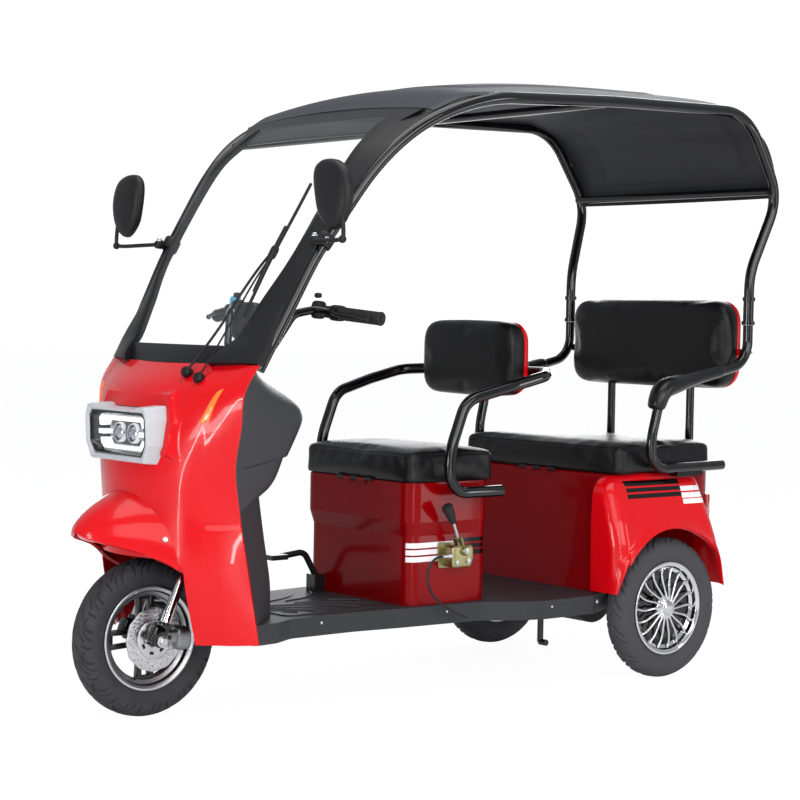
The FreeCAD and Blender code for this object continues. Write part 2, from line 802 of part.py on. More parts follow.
def tyre(station, y):
    half, wall, bead = tyre_width / 2, tyre_wall, rim_width / 2 - flange - 0.3
    depth = tyre_radius - rim_radius
    widest, shoulder = rim_radius + 0.32 * depth, rim_radius + 0.72 * depth
    right = [(bead - wall, bead_radius, 0), (bead, bead_radius, 0), (bead, rim_radius + 3, 0),
             (half, widest, 16), (half - 3, shoulder, 12), (half - 20, tyre_radius, 14)]
    left = [(half - 24, tyre_radius - wall, 0), (half - wall - 3, shoulder - 2, 0), (half - wall, widest, 0)]
    points = (right + [(-across, radial, r) for across, radial, r in reversed(right)]
              + [(-across, radial, r) for across, radial, r in reversed(left)] + left)
    corners = [(Vector(station, y + across, axle_height + radial), r) for across, radial, r in points]
    return Part.Face(rounded_wire(corners)).revolve(Vector(station, y, axle_height), Vector(0, 1, 0), 360)


def rim_barrel(station, y):
    half, seat, drop = rim_width / 2, bead_radius - 0.3, bead_radius - 14
    outside = [(8, drop, 0), (13, seat, 0), (half - flange, seat, 0), (half - flange, rim_radius, 0),
               (half, rim_radius, 2), (half, bead_radius - 10, 0)]
    inside = [(half - rim_wall, bead_radius - 10, 0), (half - rim_wall - 3, seat - rim_wall, 0),
              (17, seat - rim_wall, 0), (12, drop - rim_wall, 0)]
    right = outside + inside
    points = right + [(-across, radial, r) for across, radial, r in reversed(right)]
    corners = [(Vector(station, y + across, axle_height + radial), r) for across, radial, r in points]
    return Part.Face(rounded_wire(corners)).revolve(Vector(station, y, axle_height), Vector(0, 1, 0), 360)


def turned(shape, station, y, degrees):
    copy = shape.copy()
    copy.rotate(Vector(station, y, axle_height), Vector(0, 1, 0), degrees)
    return copy


def front_rim():
    x, z = wheelbase, axle_height
    barrel = rim_barrel(x, 0)
    hub = rod(Vector(x, -42, z), Vector(x, 36, z), hub_radius)
    centres = [x + side * spoke_offset for side in (-1, 1)]
    half, deep = spoke_width / 2, spoke_depth / 2
    pair = [box(centre - half, centre + half, -deep, deep, z + 12, z + 112) for centre in centres]
    turns = [index * 360 / front_spoke_pairs for index in range(front_spoke_pairs)]
    spokes = [turned(bar, x, 0, turn) for turn in turns for bar in pair]
    bore = rod(Vector(x, -60, z), Vector(x, 60, z), wheel_bore)
    return joined([barrel, hub] + spokes).cut(bore)


def front_disc():
    x, z, y = wheelbase, axle_height, disc_offset
    plate = rod(Vector(x, y, z), Vector(x, y + disc_thickness, z), disc_radius)
    hole = rod(Vector(x, y - 5, z + 36), Vector(x, y + 20, z + 36), 8)
    windows = [turned(hole, x, y, index * 60) for index in range(6)]
    carrier = rod(Vector(x, 36.3, z), Vector(x, y, z), 26)
    bore = rod(Vector(x, 0, z), Vector(x, 80, z), wheel_bore)
    return joined([plate, carrier]).cut(bore).cut(group(windows))


def rear_rim(side):
    y, z = side * rear_track / 2, axle_height
    barrel = rim_barrel(0, y)
    out = side * 20
    hub = rod(Vector(0, y - side * 30, z), Vector(0, y + side * 26, z), 26)
    face = rod(Vector(0, y + side * 2, z), Vector(0, y + side * 7, z), 112)
    spokes = []
    for index in range(rear_spokes):
        bar = box(-3, 3, min(y + side * 7, y + out), max(y + side * 7, y + out), z + 22, z + 106)
        spokes.append(turned(bar, 0, y, index * 360 / rear_spokes))
    bore = rod(Vector(0, y - side * 60, z), Vector(0, y + side * 28.5, z), wheel_bore)
    return joined([barrel, hub, face] + spokes).cut(bore)


def fork():
    pieces = []
    for side in (-1, 1):
        across = Vector(0, side * fork_half_width, 0)
        low = front_hub + across
        slider_end = low + up_axis * slider_length
        pieces.append(rod(low - up_axis * 18, slider_end, fork_slider_radius))
        pieces.append(rod(slider_end, low + up_axis * (crown_height + 12), fork_leg_radius))
    reach = fork_half_width + 20
    crown = box(-24, 24, -reach, reach, crown_height, crown_height + crown_thickness)
    crown.rotate(Vector(0, 0, 0), Vector(0, 1, 0), -steering_rake)
    crown.translate(steer_base + lead_axis * (axle_lead / 2))
    stem = rod(stem_at(crown_height), stem_at(stem_length), stem_radius)
    axle = rod(front_hub - Vector(0, reach, 0), front_hub + Vector(0, reach + 4, 0), wheel_bore - 0.5)
    return joined(pieces + [crown, stem, axle])


def brake_caliper():
    x, z = wheelbase, axle_height
    y = disc_offset + disc_thickness / 2
    body = box(x - 98, x - 58, y - 14, y + 24, z - 26, z + 22)
    slot = box(x - disc_radius - 7, x - 50, y - 7, y + 7, z - 40, z + 40)
    arm_outline = [(x - 66, z - 10, 4), (x - 14, z - 10, 4), (x - 14, z + 24, 4), (x - 66, z + 22, 4)]
    arm = side_profile(arm_outline, y + 8, y + 24)
    return joined([body, arm]).cut(slot).cut(fork())


bar_route = [
    # behind the stem, half width, above the stem's top, bend radius
    (5, 70, 12, 30), (7, 104, 32, 26), (-29, 148, 122, 40), (-67, 190, 134, 36), (-99, 240, 126, 60),
    (-143, 380, 112, 0),
]
stem_top = stem_at(stem_length)


def bar_point(offset, y, rise):
    return Vector(stem_top.x + offset, y, stem_top.z + rise)


def bar_place(index):
    return bar_point(*bar_route[index][:3])


def handlebar():
    left = [(bar_point(offset, y, rise), bend) for offset, y, rise, bend in bar_route]
    right = [(Vector(p.x, -p.y, p.z), bend) for p, bend in reversed(left)]
    bar = bent_tube(right + left, bar_radius)
    clamp = rod(stem_at(stem_length - 12), stem_at(stem_length + 12), 24)
    bore = rod(stem_at(stem_length - 60), stem_at(stem_length + 0.3), stem_radius + 0.3)
    return joined([bar, clamp]).cut(bore)


def grips():
    inner, outer = bar_place(4), bar_place(5)
    along = (outer - inner).normalize()
    grip = rod(inner + along * 14, outer + along * 2, grip_radius).cut(handlebar())
    return both_sides(grip)


def brake_levers():
    inner = bar_place(4)
    along = (bar_place(5) - inner).normalize()
    perch = rod(inner - along * 22, inner + along * 8, 17)
    pivot = inner + Vector(14, 4, 0)
    arm = box(pivot.x - 20, pivot.x + 12, pivot.y - 14, pivot.y + 6, pivot.z - 8, pivot.z + 6)
    lever = bent_tube([(pivot, 0), (pivot + Vector(6, 34, -6), 40), (pivot + Vector(-19, 116, -16), 0)], 5)
    return both_sides(joined([perch, arm, lever]).cut(handlebar()))


def instrument_pod():
    centre = bar_point(7, 0, 88)
    body = box(centre.x - 22, centre.x + 26, -46, 46, centre.z - 38, centre.z + 48)
    foot = rod(bar_point(-3, 0, 22.1), centre, 12)
    return joined([body, foot]).cut(handlebar())


def mirror():
    # A rounded head, narrow at its foot, on a stem clamped to the pillar.
    centre = Vector(wheelbase - 225, 478, 1348)
    leaning = [
        # above the centre, outwards, corner radius
        (-92, -4, 20), (-60, 58, 36), (14, 64, 60), (66, 26, 50),
        (80, -18, 24), (70, -70, 30), (6, -70, 70), (-64, -40, 50),
    ]
    face = rounded_wire([(centre + Vector(-17, y, z), r) for z, y, r in leaning])
    body = Part.Face(face).extrude(Vector(34, 0, 0))
    body = body.makeFillet(9, [edge for edge in body.Edges if edge.BoundBox.XLength < 0.1])
    ball = Vector(wheelbase - 259, 358, 1232)
    stem = bent_tube([(ball, 0), (ball + Vector(34, 168, -4), 14), (centre + Vector(0, 40, -50), 0)], 6)
    seat = Vector(wheelbase - 298, 357, 1232)
    along = Vector(-152, 34, 222).normalize() * 20
    clamp = joined([rod(seat - along, seat + along, tube_radius + 6), rod(seat, ball, 11)])
    return joined([body, stem, clamp]).cut(rail_tube(tube_radius + 0.2)).cut(pillar_cover())


def wiper():
    # The arm springs from a spindle on the cowl and holds the blade near the left pillar.
    spindle, elbow = Vector(wheelbase - 31, 131, 892), Vector(wheelbase - 193, 200, 1160)
    blade_low, blade_high = Vector(wheelbase - 133, 216, 1032), Vector(wheelbase - 329, 236, 1380)
    base = rod(spindle - Vector(24, 0, 12), spindle + Vector(8, 0, 4), 11)
    arm = bent_tube([(spindle, 0), (elbow, 300), ((blade_low + blade_high) / 2, 0)], 4)
    blade = rod(blade_low, blade_high, 5)
    return joined([base, arm, blade]).cut(cowl_outer())


def tail_lamp():
    # A curved lamp on the rounded rear corner.
    low, high, start, sweep, thickness = 440, 520, 118, 44, 14
    centre = Vector(rear_box_rear + rear_box_corner, rear_box_half_width - rear_box_corner, low)
    up = Vector(0, 0, 1)
    ring = Part.makeCylinder(rear_box_corner + thickness, high - low, centre, up, sweep)
    inside = Part.makeCylinder(rear_box_corner + seat_gap, high - low, centre, up, sweep)
    lamp = ring.cut(inside)
    lamp.rotate(centre, up, start)
    return lamp


def marker_lamps():
    outline = [(-43, 852), (-61, 858), (7, 772), (21, 784)]
    front = side_profile([(wheelbase + x, z, 3) for x, z in outline], 262, 300)
    front = front.cut(cowl_solid(60))
    return both_sides(front) + both_sides(tail_lamp())


def brake_pedal():
    x, y = front_box_front + 32, -150
    arm = bent_tube([(Vector(x, y, 300), 0), (Vector(x + 43, y, 372), 30), (Vector(x + 138, y, 362), 0)], 9)
    pad = box(x + 123, x + 178, y - 35, y + 35, 358, 372)
    foot = box(x - 17, x + 18, y - 20, y + 20, floor_height + seat_gap, 306)
    return joined([arm, pad, foot])


lever_foot = Vector(700, front_box_half_width + 36, 400)


def parking_brake():
    side = front_box_half_width + 0.3
    bracket = box(656, 744, side, side + 52, 354, 424)
    lever = rod(lever_foot + Vector(0, 0, 20), lever_foot + Vector(46, 16, 112), 5)
    knob = Part.makeCone(9, 16, 34, lever_foot + Vector(43, 15.5, 100), Vector(20, 2, 36))
    return joined([bracket, lever, knob])


cable_route = [
    # x, beyond the box's side, z
    (744.2, 40, 392), (786, 40, 391), (820, 48, 366), (829, 56, 326), (812, 58, 292), (778, 58, 262),
    (732, 58, 236), (682, 56, 218),
]
cable_radius = 3.5


def parking_brake_cable():
    points = [Vector(x, front_box_half_width + beyond, z) for x, beyond, z in cable_route]
    corners = [(points[0], 0)]
    for before, corner, after in zip(points, points[1:], points[2:]):
        turn = (corner - before).getAngle(after - corner)
        shorter = min((corner - before).Length, (after - corner).Length)
        corners.append((corner, 0.45 * shorter / math.tan(turn / 2)))
    corners.append((points[-1], 0))
    print("cable bend radii", [round(radius) for point, radius in corners[1:-1]])
    cable = bent_tube(corners, cable_radius)
    length = rounded_wire(corners, closed=False).Length
    print("cable length", round(length, 1), "volume ratio",
          round(cable.Volume / (math.pi * cable_radius ** 2 * length), 4))
    return cable


def single(shape):
    return shape if isinstance(shape, list) else [shape]


nodes = {
    "chassis_frame": chassis_frame(),
    "floor_pan": floor_pan(),
    "front_cowl": front_cowl(),
    "front_mudguard": front_mudguard(),
    "headlight_bezel": headlight_bezel(),
    "headlight_unit": headlight_unit(),
    "headlight_lens": headlight_lens(),
    "marker_lamps": marker_lamps(),
    "leg_shield": leg_shield(),
    "glovebox": glovebox(),
    "windscreen": windscreen(),
    "screen_frame": screen_frame(),
    "roof_frame": roof_frame(),
    "roof_panel": roof_panel(),
    "front_seat_box": front_seat_box(),
    "front_arm_rail": front_arm_rail(),
    "front_backrest": backrest_pad(**front_back),
    "front_backrest_shell": backrest_shell(**front_back),
    "rear_body": rear_body(),
    "rear_fenders": both_sides(fender()),
    "rear_arms": rear_arms(),
    "armrest_pads": both_sides(armrest_pad()),
    "rear_backrest": rear_backrest(),
    "rear_backrest_shell": backrest_shell(**rear_back),
    "backrest_posts": backrest_posts(),
    "battery_pack": battery_pack(),
    "rear_axle": rear_axle(),
    "rear_shocks": both_sides(rear_shock()),
    "brake_pedal": brake_pedal(),
    "parking_brake": parking_brake(),
    "parking_brake_cable": parking_brake_cable(),
    "mirrors": both_sides(mirror()),
    "wiper": wiper(),
    "front_seat_cushion": seat_cushion(*front_seat_plan, front_lid_z + seat_board),
    "front_seat_base": seat_base(*front_seat_plan, front_lid_z, front_hinge),
    "rear_seat_cushion": seat_cushion(*rear_seat_plan, rear_lid_z + seat_board),
    "rear_seat_base": seat_base(*rear_seat_plan, rear_lid_z, rear_hinge),
    "fork": fork(),
    "brake_caliper": brake_caliper(),
    "handlebar": handlebar(),
    "grips": grips(),
    "brake_levers": brake_levers(),
    "instrument_pod": instrument_pod(),
    "front_tyre": tyre(wheelbase, 0),
    "front_rim": front_rim(),
    "front_disc": front_disc(),
    "rear_tyre_left": tyre(0, rear_track / 2),
    "rear_tyre_right": tyre(0, -rear_track / 2),
    "rear_rim_left": rear_rim(1),
    "rear_rim_right": rear_rim(-1),
}

rear_reach = min(group(single(nodes["roof_panel"])).optimalBoundingBox().XMin,
                 group(single(nodes["roof_frame"])).optimalBoundingBox().XMin)
middle_station = (rear_reach + front_reach) / 2

os.makedirs("parts", exist_ok=True)
for name, shape in nodes.items():
    whole = group(single(shape)) if isinstance(shape, list) else shape
    whole.translate(Vector(-middle_station, 0, 0))
    whole.exportStep("parts/" + name + ".step")
    print(name, whole.isValid(), len(whole.Solids), len(whole.Faces), round(whole.Volume / 1e6, 3))
print("middle station", round(middle_station, 3), "rear reach", round(rear_reach, 2))
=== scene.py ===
import json
import math
import bpy
import bmesh
import numpy as np
from mathutils import Matrix, Vector

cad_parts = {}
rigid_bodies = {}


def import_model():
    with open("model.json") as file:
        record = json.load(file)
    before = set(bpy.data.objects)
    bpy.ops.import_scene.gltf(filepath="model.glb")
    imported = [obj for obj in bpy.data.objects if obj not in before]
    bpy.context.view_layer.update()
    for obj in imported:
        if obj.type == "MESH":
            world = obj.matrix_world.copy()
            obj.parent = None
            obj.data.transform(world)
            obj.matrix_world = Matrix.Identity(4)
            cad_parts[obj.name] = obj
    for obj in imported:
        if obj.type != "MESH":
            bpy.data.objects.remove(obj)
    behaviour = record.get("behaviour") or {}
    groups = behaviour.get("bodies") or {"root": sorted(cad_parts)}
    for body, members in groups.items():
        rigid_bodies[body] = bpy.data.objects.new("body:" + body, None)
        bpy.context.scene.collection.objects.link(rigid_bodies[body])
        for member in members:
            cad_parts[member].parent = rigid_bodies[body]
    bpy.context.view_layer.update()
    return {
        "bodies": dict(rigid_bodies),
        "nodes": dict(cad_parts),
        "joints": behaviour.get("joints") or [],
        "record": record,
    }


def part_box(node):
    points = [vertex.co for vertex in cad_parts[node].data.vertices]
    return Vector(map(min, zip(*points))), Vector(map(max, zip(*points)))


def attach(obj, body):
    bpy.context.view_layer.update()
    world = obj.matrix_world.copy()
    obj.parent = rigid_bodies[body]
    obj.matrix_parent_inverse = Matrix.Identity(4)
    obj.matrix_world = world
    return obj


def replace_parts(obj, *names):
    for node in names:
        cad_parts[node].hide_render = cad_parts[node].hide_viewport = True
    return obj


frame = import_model()
cadNodes = frame["nodes"]

# Places are given in millimetres as the CAD gives them: forward of the rear axle,
# to the left of the middle, and up from the ground.
rearAxleX = sum(corner.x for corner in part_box("rear_tyre_left")) / 2
frontAxleX = sum(corner.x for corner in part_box("front_tyre")) / 2
frontAxle = 1545  # forward of the rear axle, in millimetres
wheelRadius = 205
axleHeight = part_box("front_tyre")[1].z / 2
trackHalf = sum(corner.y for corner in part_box("rear_tyre_left")) / 2


def at(x, y, z):
    return Vector((x / 1000 + rearAxleX, y / 1000, z / 1000))


def addNode(tree, kind, settings=None, values=None):
    # a node, its settings made first; each value is a plain one or another node's socket
    made = tree.nodes.new(kind)
    for key, setting in (settings or {}).items():
        setattr(made, key, setting)
    for key, value in (values or {}).items():
        if isinstance(value, bpy.types.NodeSocket):
            tree.links.new(value, made.inputs[key])
        else:
            made.inputs[key].default_value = value
    return made


# shader maths

class Value:
    # one socket of a shader tree; sums on it add their Math nodes
    def __init__(self, shader, socket):
        self.shader = shader
        self.socket = socket

    def maths(self, operation, first, second=None):
        values = {0: first} if second is None else {0: first, 1: second}
        return self.shader.node("ShaderNodeMath", {"operation": operation}, values)

    def __add__(self, other):
        return self.maths("ADD", self, other)

    def __sub__(self, other):
        return self.maths("SUBTRACT", self, other)

    def __rsub__(self, other):
        return self.maths("SUBTRACT", other, self)

    def __mul__(self, other):
        return self.maths("MULTIPLY", self, other)

    def __abs__(self):
        return self.maths("ABSOLUTE", self)

    __radd__ = __add__
    __rmul__ = __mul__

    def sine(self):
        return self.maths("SINE", self)

    def above(self, edge, soft=0.0005):
        # 0 below the edge and 1 above it, over a soft step
        values = {"Value": self, "From Min": edge - soft, "From Max": edge + soft}
        return self.shader.node("ShaderNodeMapRange", {"clamp": True}, values)

    def between(self, low, high, soft=0.0005):
        return self.above(low, soft) * (1 - self.above(high, soft))


class Shader:
    def __init__(self, name):
        self.material = bpy.data.materials.new(name)
        self.material.use_nodes = True
        self.tree = self.material.node_tree
        self.tree.nodes.clear()
        self.coordinates = self.node("ShaderNodeTexCoord", output="Object")

    def node(self, kind, settings=None, values=None, output=0):
        plain = {key: value.socket if isinstance(value, Value) else value
                 for key, value in (values or {}).items()}
        return Value(self, addNode(self.tree, kind, settings, plain).outputs[output])

    def grain(self, scale, detail=2.0, roughness=0.5):
        values = {"Vector": self.coordinates, "Scale": scale, "Detail": detail, "Roughness": roughness}
        return self.node("ShaderNodeTexNoise", {}, values)

    def cells(self, scale):
        values = {"Vector": self.coordinates, "Scale": scale}
        return self.node("ShaderNodeTexVoronoi", {"feature": "F1"}, values)

    def axes(self):
        split = addNode(self.tree, "ShaderNodeSeparateXYZ", {}, {0: self.coordinates.socket})
        return [Value(self, socket) for socket in split.outputs]

    def mixed(self, mask, low, high):
        # one colour where the mask is 0, the other where it is 1
        values = {"Factor": mask, 6: low, 7: high}
        return self.node("ShaderNodeMix", {"data_type": "RGBA"}, values, output=2)

    def bump(self, height, strength=0.3, distance=0.001):
        values = {"Height": height, "Strength": strength, "Distance": distance}
        return self.node("ShaderNodeBump", {}, values)

    def surface(self, values):
        made = self.node("ShaderNodeBsdfPrincipled", {}, values)
        addNode(self.tree, "ShaderNodeOutputMaterial", {}, {"Surface": made.socket})
        return self.material


def rgb(red, green, blue):
    # a colour written as it looks on the screen, 0 to 255
    parts = []
    for part in (red, green, blue):
        part /= 255
        parts.append(part / 12.92 if part <= 0.04045 else ((part + 0.055) / 1.055) ** 2.4)
    return (*parts, 1.0)


def shaded(colour, share, extra=0.0):
    return tuple(min(1.0, part * share + extra) for part in colour[:3]) + (1.0,)


# finishes

# bright is the red paint's own colour; deep is that red darkened: painted shade, used on the rear body
paint = {"bright": rgb(205, 4, 16), "deep": rgb(132, 2, 8), "rough": 0.2}
white, black = rgb(236, 232, 236), rgb(10, 4, 5)
boxStripes = [
    # from, to (forward of the origin), lower edge, upper edge, in millimetres
    (51, 206, 413, 427, white), (51, 206, 394, 408, white), (51, 206, 375, 389, white),
    (-84, 25, 421, 433, black), (-84, 25, 404, 416, black), (-84, 25, 385, 399, black),
]
fenderStripes = [
    (-709, -483, 565, 580, black), (-709, -483, 548, 560, black), (-709, -483, 530, 543, black),
    (-822, -709, 544, 558, white), (-822, -709, 524, 539, white), (-822, -709, 507, 521, white),
]


def redPaint(name, colour, gloss, stripes=(), beyond=0.2):
    # moulded red plastic under lacquer, with stripe decals on its sides
    shader = Shader(name)
    x, y, z = shader.axes()
    base = shader.mixed(shader.grain(6, 3) * 0.3, colour, shaded(colour, 0.84))
    for start, end, low, high, stripe in stripes:
        mask = x.between(start / 1000, end / 1000) * z.between(low / 1000, high / 1000, 0.0004)
        base = shader.mixed(mask * abs(y).above(beyond), base, stripe)
    return shader.surface({
        "Base Color": base, "Roughness": paint["rough"] + 0.06 * shader.grain(14, 4),
        "Coat Weight": gloss, "Coat Roughness": 0.05, "Specular IOR Level": gloss * 0.5,
        "Normal": shader.bump(shader.grain(55, 2) + 0.02 * shader.grain(900, 2), 0.035, 0.002),
    })


def mouldedPlastic(name, colour, roughness, grain=900, strength=0.25, worn=0.25):
    # satin plastic with a spark-eroded grain and faintly rubbed patches
    shader = Shader(name)
    rubbed = shader.grain(9, 4, 0.6)
    skin = shader.cells(grain) + 0.4 * shader.grain(grain * 0.6, 2)
    return shader.surface({
        "Base Color": shader.mixed(rubbed * worn, colour, shaded(colour, 1.5, 0.01)),
        "Roughness": roughness + 0.12 * (rubbed - 0.5), "Specular IOR Level": 0.3,
        "Normal": shader.bump(skin, strength, 0.0004),
    })


def enamel(name, colour, roughness):
    # stoved enamel on steel tube
    shader = Shader(name)
    patch = shader.grain(18, 3)
    return shader.surface({
        "Base Color": shader.mixed(patch * 0.3, colour, rgb(20, 20, 22)),
        "Roughness": roughness + 0.06 * (patch - 0.5),
        "Coat Weight": 0.4, "Coat Roughness": 0.06, "Specular IOR Level": 0.3,
        "Normal": shader.bump(shader.grain(60, 2), 0.02, 0.0006),
    })


def metal(name, colour, roughness, scale=240, strength=0.12):
    shader = Shader(name)
    lines = shader.grain(scale, 4, 0.6)
    return shader.surface({
        "Base Color": shader.mixed(lines * 0.6, colour, shaded(colour, 0.72)), "Metallic": 1.0,
        "Roughness": roughness + 0.12 * (lines - 0.5),
        "Normal": shader.bump(lines, strength, 0.0006),
    })


def vinyl(name):
    # coated seat cloth: leather grain, soft sheen
    shader = Shader(name)
    tone = shader.grain(11, 3)
    skin = 0.6 * shader.cells(1500) + 0.5 * shader.grain(420, 3, 0.6)
    return shader.surface({
        "Base Color": shader.mixed(tone * 0.6, rgb(13, 13, 14), rgb(22, 22, 24)),
        "Roughness": 0.24 + 0.1 * tone, "Specular IOR Level": 0.22,
        "Normal": shader.bump(skin, 0.35, 0.0006),
    })


def tyreRubber(name):
    # dusty rubber, a little darker on the front wheel
    shader = Shader(name)
    wear = shader.grain(30, 4, 0.6)
    base = shader.mixed(shader.axes()[0].above(0), rgb(54, 54, 58), rgb(32, 32, 35))
    return shader.surface({
        "Base Color": shader.mixed(wear * 0.4, base, rgb(84, 83, 87)),
        "Roughness": 0.62 + 0.16 * wear, "Specular IOR Level": 0.35,
        "Normal": shader.bump(shader.grain(700, 3, 0.7), 0.25, 0.0008),
    })


def clearPlate(name, tint, cover):
    # thin clear sheet: mostly see-through, with its gloss
    shader = Shader(name)
    return shader.surface({
        "Base Color": tint, "Roughness": 0.03, "Alpha": cover + 0.02 * shader.grain(5, 3),
        "Specular IOR Level": 0.6, "Coat Weight": 0.5,
    })


def lampPlastic(name, colour, glow, ribs=0.0):
    shader = Shader(name)
    lines = (shader.axes()[2] * 1400).sine() * ribs
    return shader.surface({
        "Base Color": shader.mixed(shader.grain(40, 2) * 0.4, colour, shaded(colour, 0.7)),
        "Roughness": 0.16, "Coat Weight": 0.8, "Emission Color": colour, "Emission Strength": glow,
        "Normal": shader.bump(lines + 0.1 * shader.grain(300, 2), 0.3, 0.0008),
    })


finish = {
    "red": redPaint("redLacquer", paint["bright"], 0.34),
    "striped": redPaint("stripedLacquer", paint["bright"], 0.34, fenderStripes, 0.3),
    # the same red, darkened: painted shade for the rear body's faces that stand in shade
    "paintedShadeRed": redPaint("redLacquerPaintedShade", paint["deep"], 0.12),
    # the seat box's red, darkened: painted shade for the box standing behind the leg shield; its stripes are
    # decals
    "boxRedPaintedShade": redPaint("boxLacquerPaintedShade", rgb(128, 1, 6), 0.13, boxStripes, 0.2),
    "charcoal": mouldedPlastic("charcoalPlastic", rgb(50, 51, 55), 0.42),
    "floor": mouldedPlastic("floorPlastic", rgb(40, 41, 44), 0.46, 500, 0.4),
    "black": mouldedPlastic("blackPlastic", rgb(11, 11, 13), 0.46),
    "roof": mouldedPlastic("roofPlastic", rgb(40, 41, 49), 0.5, 300, 0.1),
    "pad": mouldedPlastic("padSkin", rgb(18, 18, 19), 0.24, 900, 0.08),
    "tube": enamel("blackTube", rgb(4, 4, 5), 0.09),
    "frame": enamel("frameBlack", rgb(18, 18, 19), 0.4),
    "silver": mouldedPlastic("silverTrim", rgb(176, 178, 182), 0.28, 1200, 0.05),
    "chrome": metal("chrome", rgb(214, 214, 218), 0.07, strength=0.02),
    "steel": metal("turnedSteel", rgb(205, 205, 208), 0.3, strength=0.02),
    "alloy": metal("castAlloy", rgb(150, 151, 154), 0.38, 120, 0.3),
    "zinc": metal("yellowZinc", rgb(158, 152, 110), 0.34, 90),
    "blackAlloy": enamel("blackAlloy", rgb(22, 22, 24), 0.3),
    "blackGloss": enamel("blackGloss", rgb(8, 8, 9), 0.12),
    "iron": mouldedPlastic("paintedIron", rgb(30, 30, 31), 0.55, 160, 0.4),
    "vinyl": vinyl("seatVinyl"),
    "tyre": tyreRubber("tyreRubber"),
    "rubber": mouldedPlastic("softRubber", rgb(26, 26, 27), 0.6, 700, 0.3),
    "sheath": mouldedPlastic("cableSheath", rgb(24, 24, 25), 0.42, 400, 0.15),
    "screen": clearPlate("screenGlass", rgb(214, 222, 224), 0.02),
    "lens": clearPlate("lampLens", rgb(225, 230, 235), 0.03),
    "amber": lampPlastic("amberLens", rgb(240, 110, 12), 0.25, 0.5),
    "tailRed": lampPlastic("tailLens", rgb(150, 4, 10), 0.1, 0.5),
    "lightBar": lampPlastic("lightBar", rgb(250, 250, 252), 0.85),
    "mirrorGlass": metal("mirrorGlass", rgb(190, 196, 202), 0.03, strength=0.0),
    "blueCap": mouldedPlastic("blueCap", rgb(92, 176, 210), 0.35),
}

finishNodes = {
    "frame": "chassis_frame brake_pedal brake_levers",
    "floor": "floor_pan",
    "red": "front_cowl front_mudguard front_backrest_shell rear_fenders rear_backrest_shell",
    "silver": "headlight_bezel",
    "black": "headlight_unit screen_frame battery_pack mirrors wiper front_seat_base rear_seat_base "
             "instrument_pod",
    "lens": "headlight_lens",
    "amber": "marker_lamps",
    "charcoal": "leg_shield glovebox",
    "screen": "windscreen",
    "tube": "roof_frame front_arm_rail rear_arms backrest_posts handlebar",
    "roof": "roof_panel",
    # the seat box takes the red darkened with painted shade
    "boxRedPaintedShade": "front_seat_box",
    "vinyl": "front_backrest rear_backrest front_seat_cushion rear_seat_cushion",
    # the rear body takes the red darkened with painted shade
    "paintedShadeRed": "rear_body",
    "pad": "armrest_pads",
    "iron": "rear_axle",
    "steel": "rear_shocks front_disc",
    "zinc": "parking_brake",
    "sheath": "parking_brake_cable",
    "chrome": "fork rear_rim_left rear_rim_right",
    "alloy": "brake_caliper",
    "rubber": "grips",
    "tyre": "front_tyre rear_tyre_left rear_tyre_right",
    "blackAlloy": "front_rim",
}
for finishName, nodeNames in finishNodes.items():
    for nodeName in nodeNames.split():
        mesh = cadNodes[nodeName].data
        mesh.materials.clear()
        mesh.materials.append(finish[finishName])
print("CAD nodes finished")


# making pieces


def linked(name, data):
    made = bpy.data.objects.new(name, data)
    bpy.context.scene.collection.objects.link(made)
    return made


def shownMesh(holder):
    # the plain mesh of an object as it is shown; the object itself goes
    shown = holder.evaluated_get(bpy.context.evaluated_depsgraph_get())
    mesh = bpy.data.meshes.new_from_object(shown)
    bpy.data.objects.remove(holder)
    return mesh


def meshFrom(points, faces):
    mesh = bpy.data.meshes.new("piece")
    mesh.from_pydata([tuple(point) for point in points], [], faces)
    mesh.update()
    return mesh


def tidied(mesh, gap=0.00003):
    # doubles merged, loose bits dropped and faces turned outwards
    work = bmesh.new()
    work.from_mesh(mesh)
    bmesh.ops.remove_doubles(work, verts=work.verts, dist=gap)
    bmesh.ops.dissolve_degenerate(work, edges=work.edges, dist=gap / 3)
    bmesh.ops.recalc_face_normals(work, faces=work.faces)
    work.to_mesh(mesh)
    work.free()
    return mesh


def withModifiers(mesh, modifiers):
    # the plain mesh that these modifiers leave
    holder = linked("holder", mesh)
    for kind, settings in modifiers:
        modifier = holder.modifiers.new(kind.lower(), kind)
        for key, setting in settings.items():
            setattr(modifier, key, setting)
    return shownMesh(holder)


def walled(mesh, thickness, offset=-1, even=False):
    # a skin given its wall, inwards or to both sides
    settings = {"thickness": thickness, "offset": offset}
    if even:
        settings["use_even_offset"] = True
    return withModifiers(mesh, [("SOLIDIFY", settings)])


def addPiece(name, mesh, finishName, body, sharp=34):
    mesh.name = name
    mesh.materials.clear()
    mesh.materials.append(finish[finishName])
    mesh.polygons.foreach_set("use_smooth", [True] * len(mesh.polygons))
    mesh.set_sharp_from_angle(angle=math.radians(sharp))
    piece = linked(name, mesh)
    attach(piece, body)
    return piece


def joinMeshes(meshes):
    points, faces = [], []
    for mesh in meshes:
        start = len(points)
        points += [vertex.co.copy() for vertex in mesh.vertices]
        faces += [tuple(index + start for index in face.vertices) for face in mesh.polygons]
    return meshFrom(points, faces)


def mirroredMesh(mesh):
    copy = mesh.copy()
    for vertex in copy.vertices:
        vertex.co.y = -vertex.co.y
    return tidied(copy)


def bothSides(mesh):
    return joinMeshes([mesh, mirroredMesh(mesh)])


